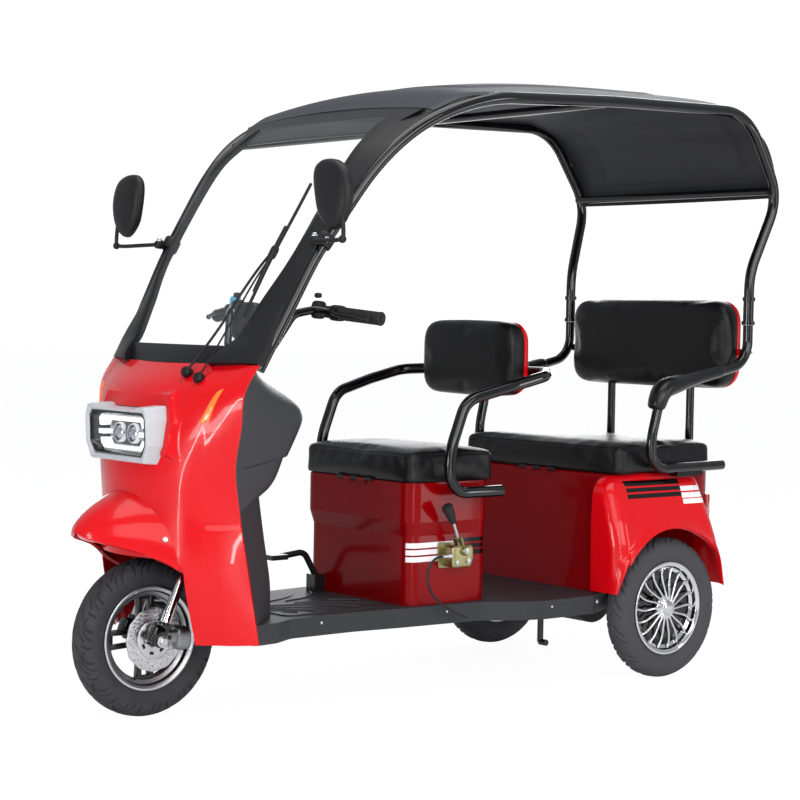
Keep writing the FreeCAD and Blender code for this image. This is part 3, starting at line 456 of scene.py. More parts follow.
def gridMesh(rows, loop=False, ring=False, caps=False):
    # rows of points; loop closes each row, ring joins the last row to the first
    count, last = len(rows[0]), len(rows) - 1
    rowPairs = [(i, i + 1) for i in range(last)] + ([(last, 0)] if ring else [])
    steps = [(j, j + 1) for j in range(count - 1)] + ([(count - 1, 0)] if loop else [])
    faces = [(upper * count + left, upper * count + right, lower * count + right, lower * count + left)
             for upper, lower in rowPairs for left, right in steps]
    if caps:
        faces.append(tuple(range(count)))
        faces.append(tuple(last * count + j for j in reversed(range(count))))
    return meshFrom([point for row in rows for point in row], faces)


def loftMesh(rows, caps=True):
    # closed outlines joined in turn, with both ends closed
    return tidied(gridMesh(rows, loop=True, caps=caps))


def skinMesh(rows, outward, pick=None):
    # an open skin, turned so that its face furthest along outward looks that way
    skin = tidied(gridMesh(rows))
    outward = Vector(outward)
    face = max(skin.polygons, key=pick or (lambda face: face.center.dot(outward)))
    if face.normal.dot(outward) < 0:
        skin.flip_normals()
    return skin


def smoothLine(points, steps=6, closed=False):
    # a Catmull-Rom line through the points
    line = np.array([list(point) for point in points], float)
    count = len(line)
    result = []
    for i in range(count if closed else count - 1):
        if closed:
            a, b, c, d = (line[(i + k) % count] for k in (-1, 0, 1, 2))
        else:
            b, c = line[i], line[i + 1]
            a = line[i - 1] if i > 0 else 2 * b - c
            d = line[i + 2] if i + 2 < count else 2 * c - b
        for step in range(steps):
            t = step / steps
            result.append(0.5 * (2 * b + (c - a) * t + (2 * a - 5 * b + 4 * c - d) * t ** 2
                                 + (3 * b - a - 3 * c + d) * t ** 3))
    if not closed:
        result.append(line[-1])
    return np.array(result)


def bend(start, corner, end, t):
    # a point on the curve that leaves start and reaches end by way of the corner
    return start * (1 - t) ** 2 + corner * 2 * t * (1 - t) + end * t ** 2


def filleted(corners, steps=5):
    # corners: (point..., radius) in a flat outline; each corner becomes an arc
    points = [Vector(corner[:-1]).to_3d() for corner in corners]
    result = []
    for i, corner in enumerate(corners):
        point, before, after = points[i], points[i - 1], points[(i + 1) % len(points)]
        into, out = (point - before).normalized(), (after - point).normalized()
        turn = into.angle(out, 0.0)
        if corner[-1] <= 0 or turn < 0.02:
            result.append(point)
            continue
        reach = min(corner[-1] * math.tan(turn / 2), (point - before).length * 0.49,
                    (after - point).length * 0.49)
        start, end = point - into * reach, point + out * reach
        result += [bend(start, point, end, step / steps) for step in range(steps + 1)]
    return result


def outlined(corners, steps, scale=1):
    # the same as flat pairs
    return [(point.x / scale, point.y / scale) for point in filleted(corners, steps)]


def rectangle(left, right, low, high, corner, steps):
    return filleted([(left, low, corner), (right, low, corner), (right, high, corner),
                     (left, high, corner)], steps)


def curveMesh(lines, settings, kind, lineSettings):
    # the plain mesh of a curve with these lines
    curve = bpy.data.curves.new("curve", "CURVE")
    for key, setting in settings.items():
        setattr(curve, key, setting)
    for line in lines:
        spline = curve.splines.new(kind)
        spline.points.add(len(line) - 1)
        for control, point in zip(spline.points, line):
            control.co = (*Vector(point).to_3d(), 1)
        for key, setting in lineSettings.items():
            setattr(spline, key, setting)
    return shownMesh(linked("curve", curve))


def tubeMesh(points, radius, sides=3, order=3, runs=10):
    # a round bar along a smooth line
    settings = {"dimensions": "3D", "bevel_depth": radius, "bevel_resolution": sides, "use_fill_caps": True}
    return curveMesh([points], settings, "NURBS",
                     {"order_u": order, "use_endpoint_u": True, "resolution_u": runs})


def plateMesh(outline, holes, thickness, bevel, matrix):
    # a flat plate with holes and eased edges, made on its own plane, then placed
    settings = {"dimensions": "2D", "fill_mode": "BOTH", "extrude": thickness / 2 - bevel,
                "bevel_depth": bevel, "bevel_resolution": 1}
    mesh = curveMesh([outline] + holes, settings, "POLY", {"use_cyclic_u": True})
    mesh.transform(matrix)
    return tidied(mesh, 0.00001)


def circle(radius, steps=24, place=(0, 0), phase=0):
    turns = [math.tau * (i + phase) / steps for i in range(steps)]
    return [(place[0] + radius * math.cos(turn), place[1] + radius * math.sin(turn)) for turn in turns]


def facing(place, forward, upward=(0, 0, 1)):
    # a frame at a place whose third axis points forward
    third = Vector(forward).normalized()
    first = Vector(upward).cross(third).normalized()
    second = third.cross(first)
    return Matrix.Translation(Vector(place)) @ Matrix((first, second, third)).transposed().to_4x4()


def turnedMesh(profile, matrix, steps=72, closed=True):
    # profile: (along the axis, radius) in metres, turned about the frame's third axis
    rows = [[matrix @ Vector((r * x, r * y, along)) for along, r in profile] for x, y in circle(1, steps)]
    return tidied(gridMesh(rows, loop=closed, ring=True))


def boltMesh(place, forward, radius=0.005, height=0.004):
    # a hexagon head on a washer
    matrix = facing(place, forward)
    seat = height * 0.3
    washer = [(0, 0.0), (0, radius * 1.35), (height * 0.25, radius * 1.35), (seat, radius * 1.2),
              (seat, 0.0)]
    head = [(seat, 0.0), (seat, radius), (height * 0.85, radius), (height, radius * 0.8), (height, 0.0)]
    return joinMeshes([turnedMesh(washer, matrix, 16, False), turnedMesh(head, matrix, 6, False)])


def softBlock(place, size, power=3.0, rings=14, steps=28):
    # a block with swollen faces and soft edges; size is half its sizes along the frame's axes
    if isinstance(place, Vector):
        place = Matrix.Translation(place)

    def curved(value):
        return math.copysign(abs(value) ** (2 / power), value)
    rows = []
    for i in range(rings + 1):
        tilt = math.pi * (i / rings - 0.5)
        up, out = curved(math.sin(tilt)), curved(max(math.cos(tilt), 0))
        rows.append([place @ Vector((size[0] * out * curved(x), size[1] * out * curved(y), size[2] * up))
                     for x, y in circle(1, steps)])
    return loftMesh(rows, caps=False)


# Geometry Nodes that set an item round a centre, each turned by Step from the one before

roundTree = bpy.data.node_groups.new("repeatRound", "GeometryNodeTree")


def buildRound(tree):
    for label, kind in (("Geometry", "Geometry"), ("Item", "Object"), ("Finish", "Material"),
                        ("Count", "Int"), ("Centre", "Vector"), ("Step", "Vector")):
        tree.interface.new_socket(label, in_out="INPUT", socket_type="NodeSocket" + kind)
    tree.interface.new_socket("Geometry", in_out="OUTPUT", socket_type="NodeSocketGeometry")
    given = addNode(tree, "NodeGroupInput").outputs
    item = addNode(tree, "GeometryNodeObjectInfo", {}, {"Object": given["Item"]})
    index = addNode(tree, "GeometryNodeInputIndex")
    turn = addNode(tree, "ShaderNodeVectorMath", {"operation": "SCALE"},
                   {0: given["Step"], "Scale": index.outputs["Index"]})
    points = addNode(tree, "GeometryNodePoints", {}, {"Count": given["Count"]})
    put = addNode(tree, "GeometryNodeInstanceOnPoints", {},
                  {"Points": points.outputs[0], "Instance": item.outputs["Geometry"],
                   "Rotation": turn.outputs[0]})
    moved = addNode(tree, "GeometryNodeTranslateInstances", {},
                    {"Instances": put.outputs["Instances"], "Translation": given["Centre"],
                     "Local Space": False})
    real = addNode(tree, "GeometryNodeRealizeInstances", {}, {"Geometry": moved.outputs["Instances"]})
    coat = addNode(tree, "GeometryNodeSetMaterial", {},
                   {"Geometry": real.outputs["Geometry"], "Material": given["Finish"]})
    addNode(tree, "NodeGroupOutput", {}, {"Geometry": coat.outputs["Geometry"]})


def repeatedRound(itemMesh, finishName, count, centre):
    # the item set round the wheel's axle
    item, holder = linked("item", itemMesh), linked("repeated", bpy.data.meshes.new("repeated"))
    modifier = holder.modifiers.new("repeat", "NODES")
    modifier.node_group = roundTree
    values = {"Item": item, "Finish": finish[finishName], "Count": count, "Centre": tuple(centre),
              "Step": (0, math.tau / count, 0)}
    for socket in roundTree.interface.items_tree:
        if socket.in_out == "INPUT" and socket.name in values:
            modifier[socket.identifier] = values[socket.name]
    mesh = shownMesh(holder)
    bpy.data.objects.remove(item)
    return mesh


buildRound(roundTree)
print("tools ready")


# wheels

tyreShape = {"steps": 560, "grooveDepth": 0.0046, "edge": 0.0012}
tyreHalf = [
    # across, radius from the bead to the middle of the tread, millimetres
    (24, 128), (26, 136), (31, 145), (36, 156), (38, 168), (37.2, 179), (33.5, 189), (26.5, 197.5),
    (14, 203.6), (0, 205),
]
hookTread = {"count": 14, "reach": 64, "strokes": [
    # width, then (along, across) points in millimetres on one side of the tread
    (4.6, [(0, 1), (10, 9), (26, 17), (48, 22), (66, 30), (78, 44), (82, 56)]),
    (3.6, [(22, 30), (30, 24), (44, 29), (54, 38), (58, 54)]),
    (3.2, [(46, 12), (60, 13), (72, 20), (84, 30)]),
    (2.8, [(4, 26), (10, 36), (12, 52)]),
]}
lugTread = {"count": 16, "reach": 42, "strokes": [
    (6.5, [(0, 3), (16, 14), (34, 30), (40, 50), (40, 60)]),
    (3.6, [(34, 8), (48, 20), (60, 36), (66, 56)]),
    (3.0, [(14, 34), (20, 50)]),
]}


def strokeDistance(along, across, line, pitch):
    # how far each tread point lies from a stroke that repeats every pitch
    nearest = np.full(along.shape, 1e9)
    for shift in (-pitch, 0, pitch):
        for (a0, s0), (a1, s1) in zip(line, line[1:]):
            runA, runS = a1 - a0, s1 - s0
            t = ((along - a0 - shift) * runA + (across - s0) * runS) / (runA ** 2 + runS ** 2)
            t = np.clip(t, 0, 1)
            nearest = np.minimum(nearest, np.hypot(along - a0 - shift - t * runA, across - s0 - t * runS))
    return nearest


def tyreMesh(centre, tread):
    half = smoothLine([(across, radius, 0) for across, radius in tyreHalf], 7)[:, :2]
    outer = np.vstack([half, (half[:-1] * [-1, 1])[::-1]]) / 1000
    inner = np.array([(-20, 128), (-22, 142), (-28, 164), (-22, 186), (0, 195), (22, 186), (28, 164),
                      (22, 142), (20, 128)]) / 1000
    steps = tyreShape["steps"]
    slope = np.gradient(outer, axis=0)
    normal = np.stack([slope[:, 1], -slope[:, 0]], 1)
    normal /= np.linalg.norm(normal, axis=1)[:, None]
    normal *= np.sign(normal[len(outer) // 2, 1])
    length = np.concatenate([[0], np.cumsum(np.hypot(*np.diff(outer, axis=0).T))])
    across = (length - length[len(outer) // 2]) * 1000
    angle = np.arange(steps) * math.tau / steps
    pitch = math.tau * wheelRadius / tread["count"]
    along, side = np.meshgrid(angle * wheelRadius, across, indexing="ij")
    groove = np.zeros(along.shape)
    for hand in (1, -1):
        shifted = (along + (pitch / 2 if hand < 0 else 0)) % pitch
        for width, line in tread["strokes"]:
            near = strokeDistance(shifted, side * hand, line, pitch)
            cut = 1 - np.clip((near - width / 2) / (tyreShape["edge"] * 1000), 0, 1)
            groove = np.maximum(groove, cut * (side * hand > -1))
    groove *= np.clip((tread["reach"] - abs(side)) / 14, 0, 1)
    ribs = 0.0007 * (np.abs(np.abs(side) - 86) < 1.6) + 0.0006 * (np.abs(np.abs(side) - 92) < 1.2)
    depth = ribs - groove * tyreShape["grooveDepth"]
    ringY, ringR = (np.concatenate([outer[:, k][None, :] + normal[:, k][None, :] * depth,
                                    np.repeat(inner[:, k][None, :], steps, 0)], 1) for k in (0, 1))
    points = np.stack([centre.x + ringR * np.sin(angle)[:, None], centre.y + ringY,
                       centre.z + ringR * np.cos(angle)[:, None]], 2)
    return tidied(gridMesh([list(row) for row in points], loop=True, ring=True), 0.000001)


wheelCentres = {
    "front": Vector((frontAxleX, 0, axleHeight)),
    "left": Vector((rearAxleX, trackHalf, axleHeight)),
    "right": Vector((rearAxleX, -trackHalf, axleHeight)),
}
rimSection = [
    # along the axle, radius, corner: the polished lip, the bead seat and the well
    (31, 136, 1.5), (27.5, 136, 1), (26, 126.6, 1), (13, 126.6, 2), (8, 112.7, 2), (-8, 112.7, 2),
    (-13, 126.6, 2), (-26, 126.6, 1), (-27.5, 136, 1), (-31, 136, 1.5), (-31, 131, 2), (-27, 123, 2),
    (-17, 121, 2), (-12, 109, 2), (12, 109, 2), (17, 121, 2), (27, 123, 2), (31, 131, 2),
]


def rimMesh(centre):
    return turnedMesh(outlined(rimSection, 3, 1000), facing(centre, (0, 1, 0)), 120)


def taperedBar(start, end, widthStart, widthEnd, depth):
    # a bar from start to end that lies in the wheel's plane
    along, wide = (end - start).normalized(), Vector((1, 0, 0))
    deep = along.cross(wide).normalized() * depth / 2
    rows = []
    for place, width in ((start, widthStart), (end, widthEnd)):
        half = wide * width / 2
        rows.append([place + half + deep, place + half - deep, place - half - deep, place - half + deep])
    return withModifiers(loftMesh(rows), [("BEVEL", {"width": 0.002, "segments": 2})])


def addFrontWheel():
    centre = wheelCentres["front"]
    face = facing(centre, (0, 1, 0))
    tyre = addPiece("frontTyre", tyreMesh(centre, hookTread), "tyre", "front_wheel", 60)
    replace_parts(tyre, "front_tyre")
    rim = addPiece("frontRimLip", rimMesh(centre), "steel", "front_wheel")
    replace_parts(rim, "front_rim")
    lining = [(26, 122.5), (16, 120.4), (11, 108.4), (-11, 108.4), (-16, 120.4), (-26, 122.4), (-26, 121.4),
              (-15.4, 119.4), (-10.4, 107.2), (10.4, 107.2), (15.4, 119.4), (26, 121.5)]
    lined = turnedMesh([(a / 1000, r / 1000) for a, r in lining], face, 96)
    bars = [taperedBar(Vector((side * 0.0155, 0, 0.014)), Vector((side * 0.0185, 0, 0.113)), 0.011, 0.014,
                       0.020) for side in (-1, 1)]
    bars.append(taperedBar(Vector((0, 0, 0.098)), Vector((0, 0, 0.112)), 0.05, 0.056, 0.018))
    spokes = repeatedRound(joinMeshes(bars), "blackAlloy", 4, centre)
    hub = [(-42, 0, 0), (-42, 20, 2), (-34, 22, 2), (-30, 30, 3), (-8, 30, 3), (-8, 40, 2), (8, 40, 2),
           (8, 30, 3), (30, 30, 3), (36, 26, 2), (36, 0, 0)]
    hubMesh = turnedMesh(outlined(hub, 2, 1000), face, 48, False)
    addPiece("frontWheelCasting", joinMeshes([lined, spokes, hubMesh]), "blackAlloy", "front_wheel")
    valve = tubeMesh([centre + Vector((0.03, 0.004, -0.106)), centre + Vector((0.034, 0.03, -0.098))],
                     0.0035)
    addPiece("frontValve", valve, "rubber", "front_wheel")
    addFrontDisc(centre)


def addFrontDisc(centre):
    low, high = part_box("front_disc")
    radius, offset = (high.z - low.z) / 2, high.y - 0.0025
    face = facing(Vector((centre.x, offset, centre.z)), (0, 1, 0))
    holes = [circle(0.0022, 8, place) for row, ring in enumerate((0.075, 0.069, 0.062))
             for place in circle(ring, 18, phase=row * 0.33)]
    outline = []
    for i, (x, y) in enumerate(circle(1, 96)):
        waved = radius + 0.0011 * math.cos(i / 96 * math.tau * 12)
        outline.append((waved * x, waved * y))
    plate = plateMesh(outline, holes + [circle(0.0515, 64)], 0.004, 0.0004, face)
    slot = [(0.040, -0.20), (0.040, 0), (0.040, 0.20), (0.0315, 0.20), (0.0315, 0), (0.0315, -0.20)]
    slots = [[(r * math.cos(turn + step), r * math.sin(turn + step)) for r, step in slot]
             for turn in [math.tau * i / 7 for i in range(7)]]
    carrier = plateMesh(circle(0.0495, 64), slots + [circle(0.014, 32)], 0.006, 0.0006, face)
    link = turnedMesh([(-0.0012, 0.0492), (-0.0012, 0.0518), (0.0012, 0.0518), (0.0012, 0.0492)], face, 64)
    disc = addPiece("frontDisc", joinMeshes([plate, carrier, link]), "steel", "front_wheel")
    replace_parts(disc, "front_disc")
    seat = turnedMesh([(-0.012, 0.0), (-0.012, 0.036), (-0.004, 0.046), (-0.004, 0.0)], face, 48, False)
    addPiece("discSeat", seat, "blackAlloy", "front_wheel")
    bolts = [boltMesh(face @ Vector((x, y, 0.003)), (0, 1, 0), 0.0042, 0.005)
             for x, y in circle(0.023, 5, phase=0.5)]
    addPiece("discBolts", joinMeshes(bolts), "steel", "front_wheel")


rearSpoke = {
    "count": 18, "radius": 0.0038,
    # along the wheel's radius, turn in radians, out along the axle
    "line": [(0.022, 0.0, 0.026), (0.045, 0.10, 0.024), (0.075, 0.20, 0.021), (0.1, 0.2, 0.019),
             (0.119, 0.12, 0.0175)],
}


def addRearWheel(side, name, body):
    centre = wheelCentres[name]
    face = facing(centre, (0, side, 0))
    tyre = addPiece(name + "RearTyre", tyreMesh(centre, lugTread), "tyre", body, 60)
    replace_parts(tyre, "rear_tyre_" + name)
    rim = addPiece(name + "RearRim", rimMesh(centre), "chrome", body)
    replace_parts(rim, "rear_rim_" + name)
    bowl = [(20, 120.8, 0), (8, 116, 8), (3, 96, 20), (2, 60, 20), (8, 34, 10), (18, 27, 3), (18, 0, 0),
            (-30, 0, 0), (-30, 30, 4), (-6, 60, 20), (-6, 100, 10), (-8, 108.6, 0), (11, 108.6, 0),
            (16, 120.6, 0)]
    addPiece(name + "RearBowl", turnedMesh(outlined(bowl, 4, 1000), face, 96, False), "blackGloss", body)
    line = [Vector((part * math.sin(turn), side * stand, part * math.cos(turn)))
            for part, turn, stand in rearSpoke["line"]]
    bar = tubeMesh(line, rearSpoke["radius"], 2, 4, 5)
    spokes = repeatedRound(bar, "chrome", rearSpoke["count"], centre)
    cap = [(14, 0, 0), (14, 39, 0), (21, 38, 2), (27, 31, 3), (29, 19, 2), (33, 17, 1.5), (34, 9, 1),
           (34, 0, 0)]
    capMesh = turnedMesh(outlined(cap, 3, 1000)[1:-1], face, 48, False)
    capFull = turnedMesh([(0.034, 0.0), (0.034, 0.0082)], face, 48, False)
    addPiece(name + "RearSpokes", joinMeshes([spokes, capMesh, capFull]), "chrome", body, 50)
    pocket = [(0.0, 0.0), (0.0, 0.0085), (0.006, 0.0075), (0.0065, 0.005), (0.0065, 0.0)]
    pockets = [turnedMesh(pocket, facing(face @ Vector((x, y, 0.0105)), (0, side, 0)), 20, False)
               for x, y in circle(0.049, 5)]
    addPiece(name + "HubNuts", joinMeshes(pockets), "blackAlloy", body)


addFrontWheel()
addRearWheel(1, "left", "rear_wheel_left")
addRearWheel(-1, "right", "rear_wheel_right")
print("wheels made")


# body shells

cowlShape = {
    "levels": [
        # height, centre and crease ahead of the front axle, crease half width, rear edge, its half width
        (208, 45, -50, 224, -159, 286), (410, 78, -6, 221, -128, 274), (560, 71, 6, 208, -99, 274),
        (660, 73, 10, 214, -68, 302), (760, 57, 4, 232, -61, 334), (860, 17, -30, 246, -69, 344),
        (918, -53, -84, 250, -107, 345),
    ],
    "wall": 4, "creaseRadius": 46, "panelTop": 512, "panelRaise": 5,
    # the lamp's pod: its outline (across, up), where its face stands and how it leans and falls away
    "podFace": 1596, "podFoot": 690, "podLean": 0.155, "podRound": 7, "podSlope": 1.7,
    "pod": [(-172, 690), (172, 690), (178, 770), (150, 838), (-150, 838), (-178, 770)],
    "wheelRoom": 196, "wheelRoomTop": 425,
}
lampShape = {"bottom": 664, "top": 806, "half": 150, "middle": 735, "lean": 0.045}


def levelAt(levels, z):
    # one level of a table, run smoothly through its neighbours
    table = np.array(levels, float)
    heights = table[:, 0]
    z = min(max(z, heights[0]), heights[-1])
    slopes = np.gradient(table[:, 1:], heights, axis=0)
    i = min(max(int(np.searchsorted(heights, z)) - 1, 0), len(heights) - 2)
    run = heights[i + 1] - heights[i]
    t = (z - heights[i]) / run
    a, b = table[i, 1:], table[i + 1, 1:]
    return ((2 * t ** 3 - 3 * t ** 2 + 1) * a + (t ** 3 - 2 * t ** 2 + t) * run * slopes[i]
            + (3 * t ** 2 - 2 * t ** 3) * b + (t ** 3 - t ** 2) * run * slopes[i + 1])


def outsideDistance(outline, y, z):
    # how far a point is outside a convex outline, below nought inside it
    far = -1e9
    for (y0, z0), (y1, z1) in zip(outline, outline[1:] + outline[:1]):
        length = math.hypot(y1 - y0, z1 - z0)
        far = max(far, ((y - y0) * (z1 - z0) - (z - z0) * (y1 - y0)) / length)
    return far


def smoothMost(a, b, soft):
    gap = max(soft - abs(a - b), 0) / soft
    return max(a, b) + gap * gap * soft / 4


def cowlPoint(x, y, z):
    # the cowl's skin with the lamp's pod raised from it
    shape = cowlShape
    away = outsideDistance(shape["pod"], y, z)
    podX = shape["podFace"] - (z - shape["podFoot"]) * shape["podLean"] - max(away, 0) * shape["podSlope"]
    return smoothMost(x, podX, shape["podRound"]) if away < 60 else x


def lowerPanel(z):
    # how far the lower flank stands proud of the upper one
    return cowlShape["panelRaise"] * min(max((cowlShape["panelTop"] - z) / 9, 0), 1)


def cowlRow(z):
    centre, crease, creaseHalf, edge, edgeHalf = levelAt(cowlShape["levels"], z)
    bow = (centre - crease) / creaseHalf ** 2
    radius = cowlShape["creaseRadius"]
    half = [(centre - bow * y * y, y) for y in np.linspace(0, creaseHalf - radius * 0.6, 46)]
    flankEnd = Vector((edge, edgeHalf))
    corner = Vector((crease, creaseHalf))
    start = Vector((half[-1][0], half[-1][1]))
    out = (flankEnd - corner).normalized()
    end = corner + out * radius * 0.6
    half += [tuple(bend(start, corner, end, t)) for t in np.linspace(0, 1, 9)[1:]]
    for t in np.linspace(0, 1, 12)[1:]:
        bulge = math.sin(math.pi * t) * 3
        point = end.lerp(flankEnd, t)
        half.append((point.x + bulge * 0.6 + lowerPanel(z) * 0.5,
                     point.y + bulge * 0.5 + lowerPanel(z) * min(1, 4 * t)))
    half += [(edge - 5, edgeHalf - 1.5), (edge - 8, edgeHalf - 6), (edge - 8.5, edgeHalf - 14)]
    left = [(cowlPoint(x + frontAxle, y, z), y, z) for x, y in half]
    right = [(x, -y, z) for x, y, z in left[1:]]
    return [at(*point) for point in right[::-1] + left]


def prismMesh(outline, start, end, place):
    # a flat outline pushed from start to end; place turns (along, across, up) into a point
    return loftMesh([[place(step, across, up) for across, up in outline] for step in (start, end)])


def lampOutline(grow, corner=8):
    # the eight-cornered outline of the headlamp, (across, up)
    wide, bottom, top = lampShape["half"] + grow, lampShape["bottom"], lampShape["top"]
    corners = [(-wide + 22, bottom - grow), (wide - 22, bottom - grow), (wide, bottom + 46),
               (wide, top - 30), (wide - 12, top + grow), (-wide + 12, top + grow), (-wide, top - 30),
               (-wide, bottom + 46)]
    return outlined([(y, z, corner) for y, z in corners], 4)


def cutBy(mesh, cutters):
    # the mesh with each cutter taken away
    for cutter in cutters:
        tool = linked("cutter", cutter)
        settings = {"operation": "DIFFERENCE", "solver": "EXACT", "object": tool}
        mesh = withModifiers(mesh, [("BOOLEAN", settings)])
        bpy.data.objects.remove(tool)
    return mesh


def addCowl():
    heights = np.concatenate([np.linspace(208, 640, 55), np.linspace(646, 850, 52),
                              np.linspace(856, 917, 14)])
    skin = skinMesh([cowlRow(z) for z in heights], (1, 0, 0))
    shell = walled(skin, cowlShape["wall"] / 1000, even=True)
    room, top = cowlShape["wheelRoom"], cowlShape["wheelRoomTop"]
    arch = outlined([(-room, 100, 0), (room, 100, 0), (room, top, 40), (-room, top, 40)], 8)
    tools = [prismMesh(arch, 1250, 1760, at), prismMesh(lampOutline(-3), 1480, 1700, at)]
    cowl = addPiece("frontCowlSkin", cutBy(shell, tools), "red", "chassis", 38)
    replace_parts(cowl, "front_cowl")


beakLine = [
    # forward of the rear axle, half width, lower edge, crest
    (1753, 2, 489, 494), (1751, 11, 484, 499), (1747, 24, 480, 503), (1738, 44, 474, 514),
    (1716, 68, 466, 534), (1680, 98, 456, 558), (1633, 132, 440, 582), (1588, 168, 417, 600),
    (1560, 188, 398, 608), (1530, 202, 382, 614), (1498, 214, 366, 618),
]
chinLine = [(1744, 20, 481), (1728, 46, 472), (1708, 66, 461), (1692, 80, 470)]


def addBeak():
    rows = []
    for x, half, low, crest in smoothLine(beakLine, 5):
        row = []
        for turn in [math.pi * i / 48 for i in range(49)]:
            side, up = math.cos(turn), math.sin(turn)
            across = half * math.copysign(abs(side) ** 0.8, side)
            row.append(at(x, across, low + (crest - low) * (0.86 * up ** 0.85 + 0.14 * up ** 5)))
        # the lower edge is tucked in on both sides
        tuck = min(10.0, half * 0.2)
        edges = [[at(x - 4, side * (half - tuck * 0.5), low - 4), at(x - 6, side * (half - tuck), low + 2)]
                 for side in (1, -1)]
        rows.append(edges[0][::-1] + row + edges[1])
    shell = walled(skinMesh(rows, (0, 0, 1)), 0.0015)
    rows = [[at(x, half * side, low + 8 * abs(side) ** 2) for side in [2 * i / 16 - 1 for i in range(17)]]
            for x, half, low in smoothLine(chinLine, 5)]
    chin = walled(skinMesh(rows, (0, 0, -1)), 0.003)
    beak = addPiece("frontBeak", joinMeshes([shell, chin]), "red", "chassis", 40)
    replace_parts(beak, "front_mudguard")
    bolts = joinMeshes([boltMesh(at(1588, side * 163, 476), (0.5, side, 0.35), 0.005, 0.006)
                        for side in (-1, 1)])
    addPiece("beakBolts", bolts, "steel", "chassis")


# a black sheet inside the cowl over the front wheel: painted shade for the dark hollow there
shadeSheetShape = {
    "radius": 236, "start": 172, "end": 77, "thickness": 0.003,
    # its half width narrows over the last few degrees
    "turns": (77, 84, 92, 102), "halves": (138, 158, 174, 190),
}


def addWheelShadeSheet():
    # a black sheet over the front wheel, curved about its axle: painted shade, standing for the dark hollow
    # inside the cowl
    shape = shadeSheetShape
    rows = []
    for turn in np.linspace(shape["start"], shape["end"], 26):
        half = float(np.interp(turn, shape["turns"], shape["halves"]))
        x = frontAxle + shape["radius"] * math.cos(math.radians(turn))
        z = wheelRadius + shape["radius"] * math.sin(math.radians(turn))
        rows.append([at(x, y, z) for y in np.linspace(-half, half, 25)])
    addPiece("wheelLiner", walled(tidied(gridMesh(rows)), shape["thickness"], 0), "black", "chassis", 40)


fenderShape = {
    "outline": [(226, 262, 0), (229, 470, 200), (222, 590, 110), (40, 604, 300), (-168, 597, 46),
                (-190, 470, 120), (-234, 262, 0)],
    "arch": 240, "centre": 201, "corner": 44, "lip": 10, "foot": 262, "thickness": 0.0035,
}


def fenderFace(z):
    # how far out the outer face is at a height
    heights, standings = (262, 330, 400, 460, 520, 560, 604), (52, 53, 50, 36, 14, 0, -12)
    return trackHalf * 1000 + float(np.interp(z, heights, standings))


def addFenders():
    shape = fenderShape
    outline = filleted(shape["outline"], 10)
    line = []
    for start, end in zip(outline, outline[1:]):
        pieces = max(int((end - start).length / 9), 1)
        line += [start.lerp(end, i / pieces) for i in range(pieces)]
    line.append(outline[-1])
    inner = trackHalf * 1000 - 65.5
    rows = []
    for i, p in enumerate(line):
        tangent = (line[min(i + 1, len(line) - 1)] - line[max(i - 1, 0)]).normalized()
        inward = Vector((tangent.y, -tangent.x, 0))
        if inward.dot(Vector((0, 330, 0)) - p) < 0:
            inward = -inward
        # the arch draws in a little at its feet, where only the rounded corner is left
        radius = shape["arch"] - 12 * float(np.clip((340 - p.y) / 78, 0, 1))
        centre = Vector((0, shape["centre"], 0))
        out = p - centre
        corner = shape["corner"]
        reach = max(out.length - radius, 4)
        turn = math.acos(max(1 - reach / corner, 0))
        path = []
        for t in np.linspace(0, turn, 13):
            q = p + inward * corner * (1 - math.cos(t))
            path.append((q.x, fenderFace(q.y) - corner * (1 - math.sin(t)), q.y))
        if reach > corner:
            start, arch = p + inward * corner, centre + out.normalized() * radius
            for t in np.linspace(0, 1, 17)[1:]:
                q = start.lerp(arch, t)
                path.append((q.x, fenderFace(q.y), q.y))
        path = np.array(path)
        run = np.concatenate([[0], np.cumsum(np.linalg.norm(np.diff(path, axis=0), axis=1))])
        even = np.linspace(0, run[-1], 24)
        path = np.stack([np.interp(even, run, path[:, k]) for k in range(3)], 1)
        path[:, 1] += shape["lip"] * np.exp(-((run[-1] - even) / 16) ** 2)
        row = [at(p.x, inner + (path[0][1] - inner) * t, p.y) for t in np.linspace(0, 1, 7)[:-1]]
        row += [at(*point) for point in path]
        x, y, z = path[-1]
        toward = -out.normalized() * 2
        row += [at(x + toward.x, y - turned, max(z + toward.y, shape["foot"])) for turned in (4, 14)]
        rows.append(row)
    skin = skinMesh(rows, (0, 1, 0), lambda face: abs(face.normal.y) * face.area)
    shell = walled(skin, shape["thickness"])
    fender = addPiece("rearFenderSkins", bothSides(tidied(shell)), "striped", "chassis", 40)
    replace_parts(fender, "rear_fenders")


roofLine = [
    # forward of the rear axle, rail height, tilt of the outward normal, half width, crown
    (951, 1575, 25, 416, 22), (856, 1617, 14, 440, 32), (699, 1633, 5, 440, 42), (419, 1647, 2, 434, 60),
    (60, 1661, 0, 428, 60), (-228, 1667, -6, 424, 50), (-363, 1614, -48, 424, 30),
    (-432, 1497, -80, 420, 18), (-426, 1417, -95, 418, 12),
]
roofShape = {"lift": 5, "sink": 36, "sunkAt": (-340, -150), "wall": 4, "press": 7, "pressHalf": 300,
             "ridge": 5, "overhang": 2}


